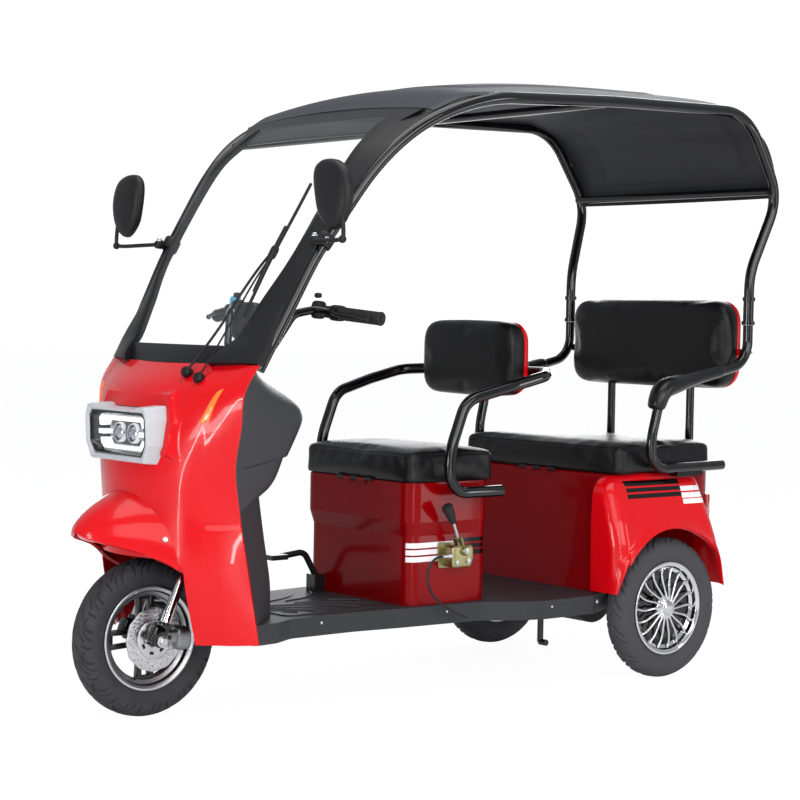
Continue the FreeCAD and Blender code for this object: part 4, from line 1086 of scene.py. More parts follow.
def addRoof():
    shape = roofShape
    line = smoothLine(roofLine, 12)
    length = np.concatenate([[0], np.cumsum(np.hypot(np.diff(line[:, 0]), np.diff(line[:, 1])))])
    # each pressed panel: from, to along the sheet, half width, how far it stands out
    panels = [(length[-1] - 330, length[-1] - 74, shape["pressHalf"], -shape["press"]),
              (250, length[-1] - 560, 250, shape["ridge"])]
    rows = []
    for (x, z, tilt, half, crown), run in zip(line, length):
        angle = math.radians(tilt)
        normal = Vector((math.sin(angle), 0, math.cos(angle)))
        middle = Vector((x, 0, z))
        # over the rails along the top, between them round the back
        rise = shape["lift"] + shape["wall"] - shape["sink"] * float(np.interp(x, shape["sunkAt"], (1, 0)))
        row = []
        for i in range(81):
            side = 2 * i / 80 - 1
            y = (half + shape["overhang"]) * side
            lift = rise + crown * (1 - side * side)
            for start, end, wide, depth in panels:
                inside = min(run - start, end - run, wide - abs(y))
                lift += depth * (0.5 + 0.5 * math.tanh(inside / 9))
            edge = max(abs(side) - 0.95, 0) / 0.05
            lift -= 6 * edge * edge
            point = middle + normal * lift
            row.append(at(point.x, y, point.z))
        rows.append(row)
    shell = walled(skinMesh(rows, (0, 0, 1)), shape["wall"] / 1000, even=True)
    roof = addPiece("roofSheet", shell, "roof", "chassis", 50)
    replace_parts(roof, "roof_panel")


addCowl()
addBeak()
addWheelShadeSheet()
addFenders()
addRoof()
print("body shells made")


# lamps

def leaned(x, z):
    return x + (z - lampShape["middle"]) * lampShape["lean"]


def lampLine(grow, forward, notch=0.0):
    # the lamp's outline at a distance ahead, with its straight edges divided
    outline = lampOutline(grow)
    line = []
    for i, (start, end) in enumerate(zip(outline, outline[1:] + outline[:1])):
        parts = 16 if i % 5 == 4 else 1
        line += [(start[0] + (end[0] - start[0]) * k / parts, start[1] + (end[1] - start[1]) * k / parts)
                 for k in range(parts)]
    points = []
    for y, z in line:
        low = min(max((102 - abs(y)) / 12, 0), 1) if z > 780 else 0
        points.append(at(leaned(forward, z), y, z - notch * low * low * (3 - 2 * low)))
    return points


def ringOf(rows):
    # the lamp's outlines joined into a ring that comes round to its first one
    return tidied(gridMesh([lampLine(*row) for row in rows], loop=True, ring=True))


def lampBar(corners, start, end):
    # a bar across the lamp, its outline given as (across, up)
    return prismMesh(corners, start, end, lambda x, y, z: at(leaned(x, z), y, z))


def bothWays(points):
    return points + [(-y, z) for y, z in reversed(points)]


def addHeadlamp():
    bezelRows = [(-17, 1590, 0), (-17, 1626, 0), (-15, 1633, 0), (-12, 1636, 2), (-6, 1638, 6),
                 (-2, 1637, 8), (0, 1631, 8), (3, 1592, 8), (4, 1570, 8), (-8, 1562, 0)]
    bezel = addPiece("lampBezel", ringOf(bezelRows), "silver", "chassis", 28)
    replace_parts(bezel, "headlight_bezel")
    innerRows = [(-18, 1592, 0), (-16, 1633, 0), (-20, 1634, 0), (-23, 1630, 0), (-36, 1604, 0),
                 (-37, 1592, 0)]
    frame = ringOf(innerRows)
    back = prismMesh(lampOutline(-20), 1584, 1592, at)
    unit = addPiece("lampHousing", joinMeshes([frame, back]), "blackGloss", "chassis", 30)
    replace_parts(unit, "headlight_unit")
    top = bothWays([(98, 780), (111, 770), (109, 751), (97, 751), (90, 766)])
    bottom = bothWays([(85, 689), (103, 704), (107, 719), (95, 719), (82, 703)])[::-1]
    bars = [lampBar(top, 1592, 1618), lampBar(bottom, 1592, 1618)]
    for side in (-1, 1):
        bars.append(lampBar([(side * y, z) for y, z in ((84, 729), (111, 729), (111, 741), (84, 741))],
                            1592, 1620))
    addPiece("lampBars", joinMeshes(bars), "lightBar", "chassis", 30)
    rings, domes, wings = [], [], []
    for side in (-1, 1):
        place = facing(at(1592, side * 34, 735), (1, 0, 0.05))
        rings.append(turnedMesh([(0, 0.021), (0, 0.026), (0.015, 0.026), (0.018, 0.0245), (0.017, 0.021)],
                                place, 48))
        dome = [(0.004, 0.0), (0.004 + 0.001 * math.sin(0.2), 0.0205)]
        dome += [(0.006 + 0.013 * math.sin(a), 0.0205 * math.cos(a))
                 for a in np.linspace(0.05, math.pi / 2, 9)]
        domes.append(turnedMesh(dome, place, 48, closed=False))
        for low, high in ((717, 731), (739, 753)):
            corners = [(side * 60, low + 3), (side * 80, low), (side * 80, high), (side * 60, high - 3)]
            wings.append(lampBar(corners, 1592, 1604))
    addPiece("lampRings", joinMeshes(rings + wings), "chrome", "chassis", 30)
    addPiece("lampLenses", joinMeshes(domes), "mirrorGlass", "chassis", 40)
    pane = lampBar(lampOutline(-19), 1626, 1628)
    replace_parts(addPiece("lampPane", pane, "lens", "chassis"), "headlight_lens")


markerShape = {"corners": [(264, 778), (239, 768), (271, 850), (286, 858)], "raise": 3.2, "sink": 2.0}
tailShape = {"low": 441, "start": 119, "sweep": 42, "thickness": 14, "corner": 130}


def onCowl(y, z):
    # the point of the cowl's left flank at a width and height
    row = [point for point in cowlRow(z)[:-3] if point.y > 0.15]
    return Vector((np.interp(y / 1000, [p.y for p in row], [p.x for p in row]), y / 1000, z / 1000))


def skinPatch(corners, across, along, lift):
    # a patch on the cowl between four corners, raised by lift(u, v)
    rows = []
    for v in np.linspace(0, 1, along):
        row = []
        for u in np.linspace(0, 1, across):
            y, z = ((1 - u) * (1 - v) * np.array(corners[0]) + u * (1 - v) * np.array(corners[1])
                    + u * v * np.array(corners[2]) + (1 - u) * v * np.array(corners[3]))
            over, upward = onCowl(y + 2, z) - onCowl(y - 2, z), onCowl(y, z + 2) - onCowl(y, z - 2)
            out = over.cross(upward).normalized()
            if out.x < 0:
                out = -out
            row.append(onCowl(y, z) + out * lift(u, v) / 1000)
        rows.append(row)
    return rows


def addMarkers():
    shape = markerShape

    def swell(u, v):
        # level in the middle, falling away towards the edges
        return shape["raise"] * min(1, 3 * (min(u, 1 - u) + 0.12)) * min(1, 9 * (min(v, 1 - v) + 0.04))
    top = skinPatch(shape["corners"], 9, 25, swell)
    under = skinPatch(shape["corners"], 9, 25, lambda u, v: -shape["sink"])
    amber = loftMesh([above + below[::-1] for above, below in zip(top, under)])
    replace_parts(addPiece("frontMarkers", bothSides(amber), "amber", "chassis", 40), "marker_lamps")


def addTailLamps():
    # a ribbed lamp bent round each rear corner of the body, thinner at its ends
    shape = tailShape
    rows = []
    centre = (-338 + shape["corner"], trackHalf * 1000 - 66 - shape["corner"])
    start, end = shape["start"], shape["start"] + shape["sweep"]
    for turn in np.radians(np.linspace(start, end, 25)):
        ends = min(turn - math.radians(start), math.radians(end) - turn)
        full = min(1.0, 0.35 + ends / math.radians(5))
        row = []
        thick = full * shape["thickness"]
        for deep, z in ((0.5, 0), (thick * 0.75, 0), (thick, 6), (thick, 36), (thick * 0.86, 39),
                        (thick, 42), (thick, 72), (thick * 0.75, 78), (0.5, 78)):
            reach = shape["corner"] + deep
            row.append(at(centre[0] + reach * math.cos(turn), centre[1] + reach * math.sin(turn),
                          shape["low"] + z))
        rows.append(row)
    addPiece("tailLamps", bothSides(loftMesh(rows)), "tailRed", "chassis", 40)


# leg shield, glovebox and controls

boxRows = [
    # rear height, rear edge, half width, climb forwards, corner radius
    (620, 1312, 170, -0.41, 50), (606, 1284, 188, -0.41, 52), (612, 1276, 197, -0.40, 54),
    (628, 1267, 204, -0.34, 56), (650, 1258, 208, -0.22, 56), (672, 1250, 210, -0.14, 56),
    (679, 1248, 210.5, -0.13, 56), (682, 1238, 214, -0.125, 56), (688, 1234, 215, -0.12, 56),
    (735, 1207, 215, -0.04, 60), (768, 1188, 210, 0.02, 62), (788, 1188, 206, 0.07, 62),
    (808, 1201, 201, 0.13, 62), (832, 1238, 193, 0.2, 62), (858, 1293, 178, 0.28, 60),
    (880, 1355, 160, 0.31, 50), (894, 1400, 150, 0.3, 40),
]
columnRows = [(257, 1250, 150, 0, 34), (300, 1250, 150, 0, 34), (355, 1253, 150, 0, 34),
              (451, 1270, 150, 0, 36), (565, 1289, 150, 0, 36), (640, 1300, 150, 0, 36)]
stemLine = {"foot": (0.76274, 0.0, 0.49175), "along": (-0.390731, 0, 0.920505), "footHeight": 320}


def stemAt(height):
    return Vector(stemLine["foot"]) + Vector(stemLine["along"]) * (height - stemLine["footHeight"]) / 1000


def shieldRow(rear, back, half, climb, corner):
    # one section from the cowl's left edge round the back to its right edge
    edge = levelAt(cowlShape["levels"], rear)
    for _ in range(3):
        start = Vector((frontAxle + edge[3] - 7, edge[4] - 9))
        edge = levelAt(cowlShape["levels"], rear + climb * (start.x - back))
    wide = Vector((back, half))
    into = (wide - start).normalized()
    reach = corner * 0.8
    line = [start.lerp(wide - into * reach, t) for t in np.linspace(0, 1, 15)]
    turnStart, turnEnd = wide - into * reach, Vector((back, half - reach))
    line += [bend(turnStart, wide, turnEnd, t) for t in np.linspace(0, 1, 9)[1:]]
    line += [turnEnd.lerp(Vector((back, 0)), t) for t in np.linspace(0, 1, 9)[1:]]
    line = line + [Vector((p.x, -p.y)) for p in line[-2::-1]]
    return [at(p.x, p.y, min(rear + climb * (p.x - back), 913)) for p in line]


def shieldMesh(table, steps):
    rows = smoothLine([[c for p in shieldRow(*row) for c in p] for row in table], steps)
    skin = tidied(gridMesh([[Vector(row[i:i + 3]) for i in range(0, len(row), 3)] for row in rows]))
    return tidied(walled(skin, 0.004, 0))


def addLegShield():
    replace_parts(addPiece("legShield", shieldMesh(columnRows, 5), "charcoal", "chassis", 40), "leg_shield")
    box = cutBy(shieldMesh(boxRows, 4), [tubeMesh([stemAt(600), stemAt(900)], 0.026, 6, 2, 1)])
    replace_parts(addPiece("gloveboxShell", box, "charcoal", "chassis", 34), "glovebox")


mirrorShape = {
    "centre": (1320, 478, 1348), "thick": 30,
    "outline": [(-4, -94), (34, -82), (60, -46), (67, 4), (50, 50), (18, 74), (-28, 81), (-62, 70),
                (-74, 42), (-66, -12), (-48, -60)],
}


def addMirrors():
    shape = mirrorShape
    x, y, z = shape["centre"]
    line = smoothLine([(across, up, 0) for across, up in shape["outline"]], 7, True)
    half = shape["thick"] / 2
    profile = [(-half + 4, 0.90), (-half, 0.915), (-half, 0.965), (-half + 3, 0.995), (-half + 9, 1.0),
               (half - 14, 0.985), (half - 8, 0.94), (half - 3, 0.82), (half, 0.6), (half + 1.5, 0.3),
               (half + 2, 0.02)]

    def shaped(profile):
        # the outline at each depth and share of its size
        return loftMesh([[at(x + deep, y + p[0] * size, z + p[1] * size) for p in line]
                         for deep, size in profile])
    stem = tubeMesh([at(1290, 366, 1232), at(1308, 420, 1230), at(1322, 520, 1227), at(1322, 531, 1240),
                     at(1322, 520, 1296)], 0.0055, 4, 3, 12)
    ball = softBlock(at(1323, 525, 1230), (0.010, 0.010, 0.010), 2.0)
    along = Vector((-152, 34, 222)).normalized()
    clamp = turnedMesh([(-0.017, 0.0162), (-0.017, 0.022), (-0.014, 0.0235), (0.014, 0.0235),
                        (0.017, 0.022), (0.017, 0.0162)], facing(at(1249, 356, 1232), along), 40)
    seat = softBlock(at(1277, 361, 1232), (0.021, 0.012, 0.012), 3.4)
    parts = joinMeshes([shaped(profile), stem, ball, clamp, seat])
    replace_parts(addPiece("mirrorSet", bothSides(parts), "black", "chassis", 40), "mirrors")
    nuts = [boltMesh(at(1284, 361, 1243), (0.1, 0, 1), 0.0065, 0.008),
            boltMesh(at(1262, 381, 1234), (0, 1, 0), 0.006, 0.007)]
    addPiece("mirrorNuts", bothSides(joinMeshes(nuts)), "steel", "chassis")
    glass = shaped([(6.5 - half, 0.88), (4.5 - half, 0.9), (3 - half, 0.6), (2.5 - half, 0.02)])
    addPiece("mirrorGlasses", bothSides(glass), "mirrorGlass", "chassis", 40)


wiperBars = [
    # radius, steps between points, the points: two arms, the blade and its spine
    (0.0035, 10, [(1524, 149, 896), (1450, 166, 984), (1354, 200, 1152), (1308, 216, 1206)]),
    (0.0025, 10, [(1520, 199, 883), (1444, 194, 982), (1352, 214, 1150), (1310, 222, 1200)]),
    (0.0042, 14, [(1410, 232, 1036), (1396, 236, 1062), (1335, 240, 1180), (1252, 240, 1310),
                  (1208, 240, 1382)]),
    (0.0058, 10, [(1380, 238, 1100), (1336, 239, 1186), (1284, 239, 1268)]),
]


def addWiper():
    knob = [(0, 0.0), (0, 0.0125), (0.004, 0.0145), (0.018, 0.014), (0.024, 0.010), (0.025, 0.0)]
    parts = [turnedMesh(knob, facing(at(*place), (0.86, 0.2, 0.47)), 28, False)
             for place in ((1511, 146, 889), (1508, 196, 876))]
    parts += [tubeMesh([at(*point) for point in line], radius, 3, 3, runs)
              for radius, runs, line in wiperBars]
    parts.append(softBlock(facing(at(1316, 229, 1202), (-0.5, 0, 0.86)), (0.008, 0.010, 0.018), 4.0))
    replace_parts(addPiece("wiperSet", joinMeshes(parts), "black", "chassis", 40), "wiper")


def addControls():
    top = stemAt(790)

    def place(behind, y, rise):
        return top + Vector((behind / 1000, y / 1000, rise / 1000))
    lean = Matrix.Rotation(math.radians(-9), 4, "Y")
    pod = softBlock(Matrix.Translation(place(8, 0, 98)) @ lean, (0.030, 0.052, 0.052), 4.6, 24, 44)
    foot = tubeMesh([place(-1, 0, 12), place(3, 0, 60)], 0.014, 5, 2, 1)
    stays = [tubeMesh([place(2, side * 30, 20), place(6, side * 40, 60), place(8, side * 34, 90)], 0.005)
             for side in (-1, 1)]
    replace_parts(addPiece("displayPod", joinMeshes([pod, foot] + stays), "black", "steering", 40),
                "instrument_pod")
    face = softBlock(Matrix.Translation(place(-23, 0, 100)) @ lean, (0.003, 0.040, 0.036), 6.0, 16, 36)
    addPiece("displayFace", face, "blackGloss", "steering", 40)
    inner, outer = place(-99, 240, 126), place(-143, 380, 112)
    along = (outer - inner).normalized()
    frame = facing(inner, along)
    block = softBlock(frame @ Matrix.Translation((0, 0, 0.004)), (0.019, 0.021, 0.020), 4.0)
    perch = softBlock(frame @ Matrix.Translation((0, 0, -0.024)), (0.014, 0.016, 0.011), 4.0)
    lever = tubeMesh([inner + Vector((0.014, 0.0, 0.002)), inner + Vector((0.03, 0.022, -0.002)),
                      inner + Vector((0.022, 0.06, -0.008)), inner + Vector((0.004, 0.104, -0.014)),
                      inner + Vector((-0.004, 0.122, -0.017))], 0.0052, 4, 3, 10)
    knob = softBlock(inner + Vector((-0.005, 0.124, -0.017)), (0.0075, 0.0075, 0.0075), 2.0)
    switch = softBlock(frame @ Matrix.Translation((0.0, 0.002, -0.058)), (0.018, 0.024, 0.016), 4.0)
    stalk = tubeMesh([inner - along * 0.058, inner - along * 0.056 + Vector((0.004, 0, 0.036))], 0.005, 3,
                     2, 1)
    button = softBlock(inner - along * 0.056 + Vector((0.004, 0, 0.040)), (0.009, 0.009, 0.007), 3.0)
    levers = bothSides(joinMeshes([block, perch, lever, knob, switch, stalk, button]))
    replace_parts(addPiece("leverSet", levers, "black", "steering", 40), "brake_levers")
    profile = [(0.0125, 0.0), (0.0125, 0.0205), (0.0145, 0.0205), (0.0155, 0.0165)]
    for k in range(18):
        profile += [(0.019 + k * 0.0065, 0.0165), (0.020 + k * 0.0065, 0.0176),
                    (0.0235 + k * 0.0065, 0.0176), (0.0245 + k * 0.0065, 0.0165)]
    profile += [(0.1385, 0.0165), (0.139, 0.0185), (0.143, 0.018), (0.145, 0.014), (0.145, 0.0)]
    grip = turnedMesh(profile, frame, 40, False)
    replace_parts(addPiece("gripSet", bothSides(grip), "rubber", "steering", 30), "grips")
    cap = softBlock(place(-86, -205, 150), (0.013, 0.016, 0.019), 3.6)
    addPiece("switchCap", cap, "blueCap", "steering", 40)


pillarRows = [
    # points of the inner and the outer edge of a pillar's cover
    ((1494, 196, 919), (1442, 338, 921)), ((1481, 208, 940), (1430, 342, 938)),
    ((1458, 222, 962), (1419, 344, 957)), ((1424, 240, 994), (1402, 343, 988)),
    ((1374, 262, 1080), (1342, 342, 1080)), ((1300, 297, 1205), (1266, 353, 1205)),
    ((1152, 304, 1434), (1112, 385, 1434)), ((1064, 294, 1522), (1012, 408, 1520)),
    ((1000, 290, 1568), (950, 424, 1566)),
]
screenRows = [
    # height, centre and edge ahead of the front axle, half width
    (950, -85, -105, 236), (1200, -227, -245, 304), (1434, -377, -395, 312), (1534, -483, -501, 300),
    (1568, -530, -548, 298),
]


def addScreen():
    rows = []
    for inner, outer in smoothLine(np.array(pillarRows, float).reshape(-1, 6), 7).reshape(-1, 2, 3):
        span = Vector(outer - inner)
        back = Vector((-0.86, 0, -0.5)) * 20
        out = span.normalized().cross(Vector((-0.56, 0.05, 0.83))).normalized()
        out = out if out.x > 0 else -out
        row = [Vector(inner) + span * t + out * 5 * (1 - abs(2 * t - 1) ** 4)
               for t in np.linspace(0, 1, 17)]
        row += [p + back for p in row[::-1][::4]]
        rows.append([at(*p) for p in row])
    cover = loftMesh(rows)
    rows = []
    for y in np.linspace(-236, 236, 49):
        deep = (y / 300) ** 2
        low, high = (1496 - 58 * deep, 916), (1466 - 32 * deep, 963)
        row = [(low[0] - 8, low[1]), low, ((low[0] + high[0]) / 2 + 2, (low[1] + high[1]) / 2),
               (high[0] + 2, high[1] - 4), (high[0] - 3, high[1]), (high[0] - 14, high[1] - 2)]
        rows.append([at(x, y, z) for x, z in row])
    trim = loftMesh(rows)
    rows = []
    for y in np.linspace(-316, 316, 49):
        deep = 18 * (y / 296) ** 2
        # its back follows the underside of the roof
        under = 1575 + 0.9 * (7 + 22 * (1 - (y / 336) ** 2))
        rows.append([at(x - deep, y, z) for x, z in ((1066, 1524), (1062, 1519), (1038, 1521))]
                    + [at(x, y * 1.24, under - drop) for x, drop in ((952, 5), (958, 1), (966, 1))])
    header = loftMesh(rows)
    frame = joinMeshes([trim, header, cover, mirroredMesh(cover)])
    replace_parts(addPiece("screenSurround", frame, "black", "chassis", 40), "screen_frame")
    rows = []
    for z in np.linspace(950, 1566, 60):
        centre, edge, half = levelAt(screenRows, z)
        rows.append([at(frontAxle + centre - (centre - edge) * t * t, half * t, z)
                     for t in np.linspace(-1, 1, 33)])
    pane = walled(skinMesh(rows, (1, 0, 0)), 0.004)
    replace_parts(addPiece("screenPane", pane, "screen", "chassis", 40), "windscreen")


def addFork():
    hub, up = at(frontAxle, 0, wheelRadius), Vector(stemLine["along"])

    def leg(along, side, ahead=0.0):
        return hub + up * along + Vector((0, side, 0)) + Vector((0.92, 0, 0.39)) * ahead
    slider = [(-0.018, 0.0), (-0.018, 0.013), (-0.012, 0.0165), (0.034, 0.0165), (0.038, 0.0185),
              (0.046, 0.0185), (0.048, 0.015), (0.048, 0.0)]
    sliders, legs = [], []
    for side in (-0.071, 0.071):
        place = facing(leg(0, side), up)
        sliders.append(turnedMesh(slider, place, 32, False))
        sliders.append(softBlock(facing(leg(0.012, side, 0.014), up), (0.018, 0.020, 0.024), 4.5))
        legs.append(turnedMesh([(0.04, 0.0), (0.04, 0.0135), (0.262, 0.0135), (0.262, 0.0)], place, 32,
                               False))
    crown = softBlock(facing(stemAt(262), up), (0.091, 0.026, 0.013), 6.0, 16, 44)
    stem = tubeMesh([stemAt(250), stemAt(790)], 0.014, 6, 2, 1)
    axle = turnedMesh([(-0.094, 0.0), (-0.094, 0.0095), (0.091, 0.0095), (0.091, 0.0)],
                      facing(hub, (0, 1, 0)), 24, False)
    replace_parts(addPiece("forkSliders", joinMeshes(sliders + [crown, stem]), "blackGloss", "steering", 40),
                "fork")
    addPiece("forkLegs", joinMeshes(legs + [axle]), "chrome", "steering", 40)
    nuts = [boltMesh(hub + Vector((0, side * 0.089, 0)), (0, side, 0), 0.012, 0.011) for side in (-1, 1)]
    addPiece("axleNuts", joinMeshes(nuts), "steel", "steering")
    low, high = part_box("brake_caliper")
    middle = (low + high) / 2
    body = softBlock(Vector((low.x + 0.022, middle.y + 0.003, middle.z)), (0.024, 0.023, 0.031), 3.4)
    arm = softBlock(Vector((low.x + 0.056, high.y - 0.007, middle.z + 0.006)), (0.030, 0.007, 0.016), 5.0)
    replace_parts(addPiece("caliperBody", joinMeshes([body, arm]), "alloy", "steering", 40), "brake_caliper")
    bolts = [boltMesh(Vector((low.x + x, high.y - 0.001, middle.z + z)), (0, 1, 0), 0.005, 0.004)
             for x, z in ((0.014, 0.014), (0.020, -0.016), (0.066, 0.006))]
    addPiece("caliperBolts", joinMeshes(bolts), "frame", "steering")


addHeadlamp()
addMarkers()
addTailLamps()
addScreen()
addFork()
addLegShield()
addMirrors()
addWiper()
addControls()
print("lamps and controls made")


# soft goods

swellFrames = 20
clothShape = {
    "quality": 5, "mass": 0.3, "tension_stiffness": 40, "compression_stiffness": 40, "shear_stiffness": 20,
    "bending_stiffness": 30, "use_pressure": True, "uniform_pressure_force": 4, "vertex_group_mass": "held",
}


def clothRun(piece, held):
    # where the points end after swelling under air pressure, with the held ones fixed
    group = piece.vertex_groups.new(name="held")
    group.add([vertex.index for vertex in piece.data.vertices if held(vertex.co)], 1.0, "REPLACE")
    cloth = piece.modifiers.new("swell", "CLOTH")
    for key, setting in clothShape.items():
        setattr(cloth.settings, key, setting)
    cloth.settings.effector_weights.gravity = 0
    cloth.collision_settings.use_collision = False
    cloth.point_cache.frame_start, cloth.point_cache.frame_end = 1, swellFrames
    for step in range(1, swellFrames + 1):
        bpy.context.scene.frame_set(step)
    shown = piece.evaluated_get(bpy.context.evaluated_depsgraph_get())
    swollen = [vertex.co.copy() for vertex in shown.data.vertices]
    piece.modifiers.clear()
    bpy.context.scene.frame_set(1)
    return swollen


def swollenMesh(mesh, voxel, cap, held):
    # the block as a fine even skin, swollen by cloth simulation and held within the cap
    skin = withModifiers(mesh, [("REMESH", {"mode": "VOXEL", "voxel_size": voxel, "adaptivity": 0.0}),
                                ("SMOOTH", {"factor": 0.5, "iterations": 2})])
    piece = linked("swelling", skin)
    swollen = clothRun(piece, held)
    for vertex, place in zip(skin.vertices, swollen):
        move = place - vertex.co
        # eased towards the cap, so no flat shows where the cap is reached
        vertex.co += move.normalized() * cap * math.tanh(move.length / cap)
    bpy.data.objects.remove(piece)
    return withModifiers(skin, [("SMOOTH", {"factor": 0.5, "iterations": 9}),
                                ("SUBSURF", {"levels": 1, "render_levels": 1})])


def pressedSeam(mesh, distance, inward, wide=0.0028, deep=0.0026):
    # a sewn line pressed in: distance(point) from the line, inward(point) its direction
    for vertex in mesh.vertices:
        near = distance(vertex.co) / wide
        if abs(near) < 3:
            vertex.co += inward(vertex.co) * deep * math.exp(-near * near)


cushions = {
    "frontCushion": {"plan": (548, 861, 242), "foot": 592.6, "thick": 82, "corner": 34, "voxel": 0.005,
                     "cap": 0.009, "node": "front_seat_cushion", "body": "front_seat_lid", "fill": 0.85},
    "rearCushion": {"plan": (-241, 163, trackHalf * 1000 - 24), "foot": 596.6, "thick": 82, "corner": 34,
                    "voxel": 0.006, "cap": 0.009, "node": "rear_seat_cushion", "body": "rear_seat_lid",
                    "fill": 0.85},
}


def addCushion(name, shape):
    back, front, half = shape["plan"]
    corner, foot, thick = shape["corner"], shape["foot"], shape["thick"]
    plan = rectangle(back, front, -half, half, corner, 8)
    middle, long = Vector(((back + front) / 2, 0, 0)), (front - back) / 2

    def level(z, inset):
        return [at(middle.x + (p.x - middle.x) * (long - inset) / long, p.y * (half - inset) / half, z)
                for p in plan]
    rows = [level(foot, 3), level(foot + 4, 0), level(foot + thick * 0.5, 2), level(foot + thick - 10, 0),
            level(foot + thick - 3, 3), level(foot + thick, 10), level(foot + thick + 3, 60),
            level(foot + thick + 4, 110)]
    block = loftMesh(rows)
    low = foot / 1000 + 0.007
    mesh = swollenMesh(block, shape["voxel"], shape["cap"], lambda p: p.z < low)
    centre = at(middle.x, 0, foot)
    seam = (foot + thick - 7) / 1000

    def inward(p):
        away = Vector((centre.x - p.x, -p.y, 0))
        if abs(away.x) / (front - back) * 2 > abs(away.y) / half:
            return Vector((math.copysign(1, away.x), 0, 0))
        return Vector((0, math.copysign(1, away.y), 0))
    longest, widest = (front - back) / 2000, half / 1000

    def seamDistance(p):
        outside = max(abs(p.x - centre.x) - longest, abs(p.y) - widest)
        return p.z - seam if outside > -0.012 else 1.0
    pressedSeam(mesh, seamDistance, inward)
    floor = foot / 1000
    for vertex in mesh.vertices:
        vertex.co.z = max(vertex.co.z, floor)
    piece = addPiece(name, mesh, "vinyl", shape["body"], 60)
    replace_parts(piece, shape["node"])


backPads = {
    "frontBackPad": {"face": 464, "thick": 60, "outline": (199, 821, 1035, 66), "voxel": 0.005,
                     "cap": 0.006, "node": "front_backrest", "shell": "front_backrest_shell"},
    "rearBackPad": {"face": -291, "thick": 60, "outline": (trackHalf * 1000 - 30, 840, 1111, 76),
                    "voxel": 0.006, "cap": 0.007, "node": "rear_backrest", "shell": "rear_backrest_shell"},
}


def addBackPad(name, shape):
    half, low, high, corner = shape["outline"]
    outline = rectangle(-half, half, low, high, corner, 10)
    middle, tall = (low + high) / 2, (high - low) / 2
    back, face = shape["face"] - shape["thick"], shape["face"]

    def level(x, inset):
        return [at(x, p.x * (half - inset) / half, middle + (p.y - middle) * (tall - inset) / tall)
                for p in outline]
    block = loftMesh([level(back, 4), level(back + 6, 0), level(face - 22, 0), level(face - 10, 4),
                      level(face - 3, 12), level(face, 22)])
    rear = at(back + 7, 0, 0).x
    mesh = swollenMesh(block, shape["voxel"], shape["cap"], lambda p: p.x < rear)
    piece = addPiece(name, mesh, "vinyl", "chassis", 60)
    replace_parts(piece, shape["node"])
    # the moulded red shell behind the pad
    shell = loftMesh([level(back + deep, inset) for deep, inset in
                      ((3, 2), (-0.5, 1), (-4, 1), (-13, 4), (-21, 12), (-25, 26), (-26, 46))])
    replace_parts(addPiece(name + "Shell", shell, "red", "chassis", 34), shape["shell"])


armLine = [
    # forward of the rear axle, out from the wheels' track, up
    (-226, 12, 900), (-180, 9, 892), (-110, 7, 877), (-40, 6, 862), (4, 5, 852), (30, 5, 838), (44, 4, 812),
    (50, 3, 786),
]


def addArmPads():
    y = trackHalf * 1000 + 8
    places = [at(*point) for point in smoothLine([(x, y + across, z) for x, across, z in armLine], 5)]
    rows = []
    for i, place in enumerate(places):
        along = (places[min(i + 1, len(places) - 1)] - places[max(i - 1, 0)]).normalized()
        frame = facing(place, along)
        ends = min(i, len(places) - 1 - i)
        fat = 0.020 + 0.009 * math.exp(-((place.x - at(6, 0, 0).x) / 0.075) ** 2)
        radius = fat * (1 - 0.30 * math.exp(-ends / 0.9))
        rows.append([frame @ Vector((radius * 1.2 * math.cos(t), radius * math.sin(t), 0))
                     for t in np.linspace(0, math.tau, 24, endpoint=False)])
    block = loftMesh(rows)
    start, end = places[1].x, places[-2].x
    mesh = swollenMesh(block, 0.0045, 0.006, lambda p: p.x < start or p.x > end)
    piece = addPiece("armPads", bothSides(mesh), "pad", "chassis", 60)
    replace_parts(piece, "armrest_pads")


for name, shape in cushions.items():
    addCushion(name, shape)
for name, shape in backPads.items():
    addBackPad(name, shape)
addArmPads()
print("soft goods made")


# parking brake, floor ribs and bolts

